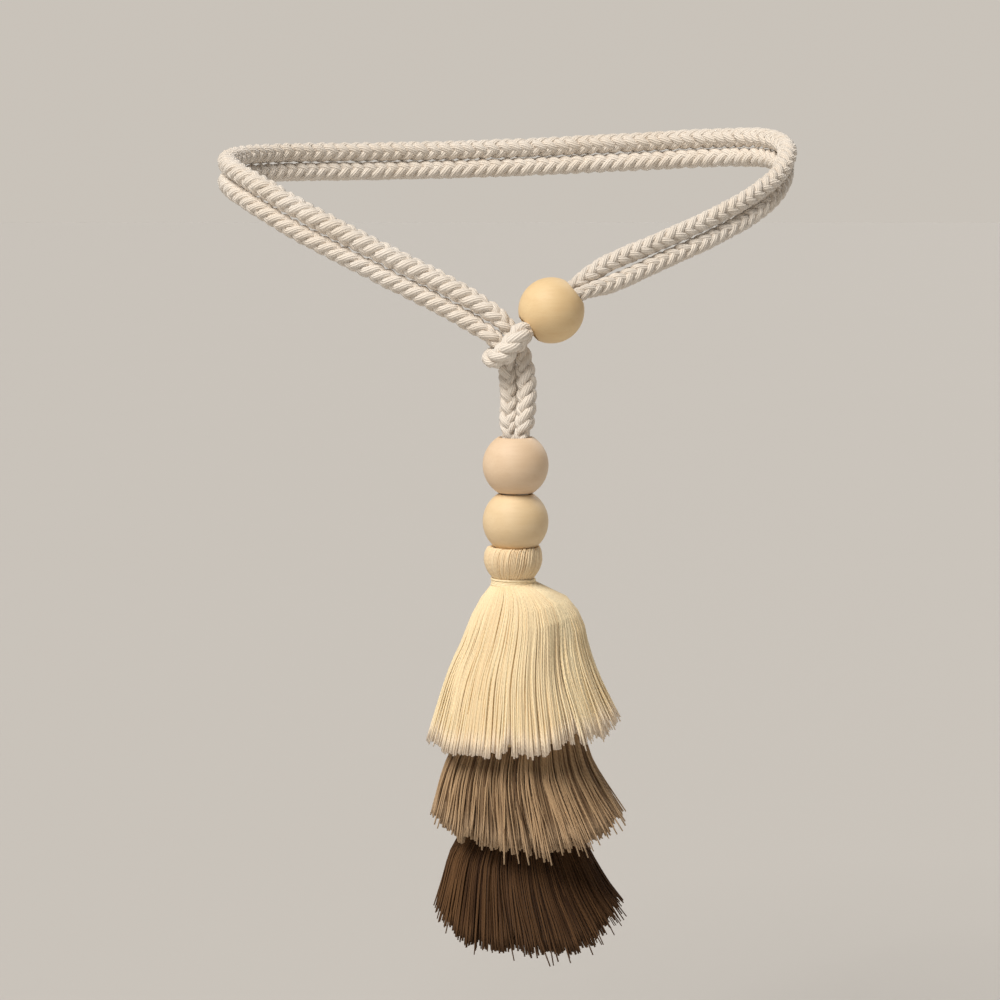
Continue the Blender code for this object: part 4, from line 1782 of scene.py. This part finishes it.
@dataclass
class Head:
    """The rounded head of the tassel: yarn folded over the top and drawn in at the neck.

    Attributes:
        rows: The head's outer form from the dish under the bead down to the neck.
        thread_d: Thickness of a thread in millimetres.
        around: Threads in each layer.
        layer_step: Distance between layers in millimetres.
        slants: How far a thread of each layer turns on its way down, in radians.
        slant_spread: Spread of those turns at the right of the head.
        calmer: How much less the threads turn at the left of it, as a share.
        steadier: How much less their turns differ there.
        bend_spread: Spread of the threads' sideways bends, in radians.
        place: How far a thread lies from its even place, as a share of the gap.
        depth: How far it lies inside its layer, in millimetres.
        girth: Thickness of a thread, as a share of the usual one.
        points: Points on a thread.
        lowered: How many rows from the top lie lower in the inner layers.
        upright: How many rows from the top are as wide in the inner layers as outside.
        seed: Start of the random draws.
    """

    rows: tuple[Row, ...] = (
        Row(HEAD_TOP_Z - 0.2, 3.6, 6.4, 6.4, 6.4),
        Row(HEAD_TOP_Z + 0.3, 3.5, 8.8, 8.8, 8.8),
        Row(HEAD_TOP_Z + 1.7, 3.3, 10.6, 10.8, 10.8),
        Row(HEAD_TOP_Z + 2.0, 3.1, 11.6, 11.8, 11.8),
        Row(HEAD_TOP_Z + 1.0, 2.9, 12.5, 12.8, 12.8),
        Row(-181.0, 2.7, 13.2, 13.6, 13.6),
        Row(-184.4, 2.6, 13.5, 13.8, 13.6),
        Row(-187.2, 2.6, 12.8, 13.0, 12.8),
        Row(-189.2, 2.6, 11.8, 11.9, 11.6),
        Row(-190.8, 2.65, 10.7, 10.8, 10.6),
        Row(-192.2, 2.7, 9.6, 9.6, 9.6),
        Row(-193.4, 2.7, 8.8, 8.8, 8.8),
    )
    thread_d: float = 0.95
    around: int = 116
    layer_step: float = 0.3
    slants: tuple[float, ...] = (-0.50, -0.34, -0.1, 0.1)
    slant_spread: float = 0.07
    calmer: float = 0.75
    steadier: float = 0.8
    bend_spread: float = 0.02
    place: float = 0.3
    depth: Span = (-0.08, 0.1)
    girth: Span = (0.85, 1.1)
    points: int = 18
    lowered: int = 5
    upright: int = 4
    seed: int = 5

    def line(self, angle: float, inset: float, slant: float, bend: float) -> np.ndarray:
        """The middle line of one thread over the head.

        Args:
            angle: Its direction at the top, in radians.
            inset: How far it lies inside the outer form.
            slant: How far it turns on its way down.
            bend: How far it sways off that turn half-way down.

        Returns:
            Points from the dish to the neck.
        """
        count = len(self.rows)
        line = []
        for i, row in enumerate(self.rows):
            share = i / (count - 1)
            turned = angle + slant * share + bend * math.sin(math.pi * share)
            across, deep = math.cos(turned), math.sin(turned)
            reach = row.back if deep > 0 else row.front
            lower = inset if i < self.lowered else 0.0
            inward = inset if i >= self.upright else 0.0
            x = row.mid + across * (row.half - inward)
            line.append((x, TASSEL_Y + deep * (reach - inward), row.z - lower))
        run = run_of(np.array(line))
        return points_at(np.linspace(0.0, run[-1], self.points), run, np.array(line))

    def build(self) -> bpy.types.Object:
        """Lay the head's threads, one layer over another.

        Returns:
            The head's piece.
        """
        rng = random.Random(self.seed)
        bundle = YarnBundle("tassel_head", self.thread_d, 0)
        for layer, slant in enumerate(self.slants):
            for i in range(self.around):
                angle = (i + rng.uniform(-self.place, self.place)) / self.around * math.tau
                inset = self.thread_d / 2 + self.layer_step * layer + rng.uniform(*self.depth)
                calm = 0.5 + 0.5 * math.cos(angle - math.pi)
                spread = self.slant_spread * (1 - self.steadier * calm)
                turn = slant * (1 - self.calmer * calm) + rng.gauss(0.0, spread)
                line = self.line(angle - turn / 2, inset, turn, rng.gauss(0.0, self.bend_spread))
                girth = np.full(len(line), rng.uniform(*self.girth))
                bundle.strands.append(Strand(line, girth, rng.random()))
        mesh = bundle.mesh()
        close_ends(mesh)
        piece = add_piece("tassel_head", mesh, HEAD_YARN.material())
        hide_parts("cream_tassel")
        return piece


@dataclass
class NeckBinding:
    """The thread wound round the neck.

    Attributes:
        turns: How many times it goes round.
        thread_d: Thickness of the thread in millimetres.
        per_turn: Points on the thread in one turn.
        starts: Direction of its upper end, in radians round from +X.
        raised: How far it starts above the neck's top, in millimetres.
        out: How far it strays in and out in millimetres, and its waves for each turn of one
            radian round the neck.
        up: The same for how it strays up and down.
        tone: Its tone, from 0 for light to 1 for dark.
    """

    turns: float = 4.3
    thread_d: float = 1.15
    per_turn: int = 36
    starts: float = 0.8
    raised: float = 0.8
    out: Span = (0.14, 0.31)
    up: Span = (0.12, 1.7)
    tone: float = 0.15

    def build(self) -> bpy.types.Object:
        """Wind the thread.

        Returns:
            The binding's piece.
        """
        count = round(self.turns * self.per_turn) + 1
        share = np.linspace(0.0, 1.0, count)
        angle = share * self.turns * math.tau + self.starts
        (out, out_pace), (up, up_pace) = self.out, self.up
        radius = NECK_CORE_R + SEAT + self.thread_d / 2 + out * np.sin(angle * out_pace + 1.0)
        high = NECK_TOP_Z + self.raised - self.thread_d / 2
        low = NECK_BOTTOM_Z + SEAT + self.thread_d / 2
        z = high + (low - high) * share + up * np.sin(angle * up_pace)
        x, y = NECK_X + radius * np.cos(angle), TASSEL_Y + radius * np.sin(angle)
        line = np.column_stack([x, y, z])
        bundle = YarnBundle("neck_thread", self.thread_d, 2)
        bundle.strands.append(Strand(line, np.ones(count), self.tone))
        mesh = bundle.mesh()
        close_ends(mesh)
        piece = add_piece("neck_thread", mesh, CREAM_YARN.material())
        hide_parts("neck_binding")
        return piece


# ---- Studio --------------------------------------------------------------------------
class Lamp(NamedTuple):
    """A broad far lamp.

    Towards is the direction from the tieback to the lamp, and width is how broad it looks
    from there, in degrees.
    """

    name: str
    towards: Point
    strength: float
    width: float
    colour: Colour


@dataclass
class Studio:
    """A pale floor, soft light and the camera.

    Attributes:
        target: The point that the camera looks at, in metres.
        distance: The camera's distance from it.
        elevation: The camera's height above the level, in degrees.
        focal: Focal length in millimetres.
        sensor: Width of the picture in the camera, in millimetres.
        floor_z: Height of the floor in metres.
        floor_r: How far the floor reaches, in metres.
        horizon: Light of the far air low down, in the lit floor's own colour.
        zenith: Light of the far air overhead.
        pale_below: How high the horizon's light reaches, from 0 for level to 1 for overhead.
        dim_above: Where the zenith's light begins, on the same scale.
        lamps: The lamps, the strongest first.
    """

    target: Point = (-0.0034, -0.132, -0.1576)
    distance: float = 1.2
    elevation: float = 6.5
    focal: float = 94.3
    sensor: float = 36.0
    floor_z: float = -0.50
    floor_r: float = 60.0
    horizon: Colour = (0.585, 0.543, 0.489)
    zenith: Colour = (0.05, 0.052, 0.057)
    pale_below: float = 0.15
    dim_above: float = 0.38
    lamps: tuple[Lamp, ...] = (
        Lamp("key", (-0.40, -0.45, 0.80), 3.4, 32.0, (1.0, 0.95, 0.885)),
        Lamp("back", (0.48, 0.68, 0.55), 0.9, 40.0, (0.97, 0.98, 1.0)),
    )

    def camera(self) -> None:
        """Set up the camera."""
        data = bpy.data.cameras.new("camera")
        data.lens = self.focal
        data.sensor_width = self.sensor
        camera = add_object("camera", data)
        tilt = math.radians(self.elevation)
        back = Vector((0.0, -math.cos(tilt), math.sin(tilt)))
        camera.location = Vector(self.target) + back * self.distance
        camera.rotation_euler = (math.radians(90.0 - self.elevation), 0.0, 0.0)
        bpy.context.scene.camera = camera

    def floor(self) -> None:
        """Make the floor."""
        bm = bmesh.new()
        bmesh.ops.create_circle(bm, cap_ends=True, segments=96, radius=self.floor_r)
        bmesh.ops.translate(bm, verts=bm.verts, vec=(0.0, 0.0, self.floor_z))
        floor = add_object("floor", mesh_from(bm, "floor"))
        floor.data.materials.append(PaperFinish().material())

    def light(self, lamp: Lamp) -> None:
        """Hang a lamp.

        Args:
            lamp: The lamp.
        """
        data = bpy.data.lights.new(lamp.name, "SUN")
        data.energy = lamp.strength
        data.angle = math.radians(lamp.width)
        data.color = lamp.colour
        hung = add_object(lamp.name, data)
        hung.rotation_euler = Vector(lamp.towards).to_track_quat("Z", "Y").to_euler()

    def sky(self) -> None:
        """Make the far air: as pale as the floor low down, dim and cool higher up."""
        world = bpy.data.worlds.new("studio")
        world.use_nodes = True
        air = NodeSheet(world.node_tree)
        towards = air.add("ShaderNodeTexCoord").outputs["Generated"]
        level = air.add("ShaderNodeSeparateXYZ", {0: towards}).outputs["Z"]
        inputs = {"Value": level, "From Min": self.pale_below, "From Max": self.dim_above}
        height = air.add("ShaderNodeMapRange", inputs, interpolation_type="SMOOTHSTEP")
        colour = air.blend(height.outputs["Result"], rgba(self.horizon), rgba(self.zenith))
        air.feed(world.node_tree.nodes["Background"].inputs["Color"], colour)
        bpy.context.scene.world = world

    def build(self) -> None:
        """Set up everything round the tieback."""
        self.camera()
        self.floor()
        for lamp in self.lamps:
            self.light(lamp)
        self.sky()
        bpy.context.scene.view_settings.view_transform = "Standard"


def main() -> None:
    """Build the studio, then each piece in order."""
    logging.basicConfig(level=logging.INFO, format="%(message)s")
    Studio().build()
    Rope().build()
    for bead in (CINCH_BEAD, UPPER_BEAD, LOWER_BEAD):
        bead.build()
    Head().build()
    NeckBinding().build()
    for skirt in (CREAM_SKIRT, TAN_SKIRT, BROWN_SKIRT):
        skirt.build()


if __name__ == "__main__":
    main()
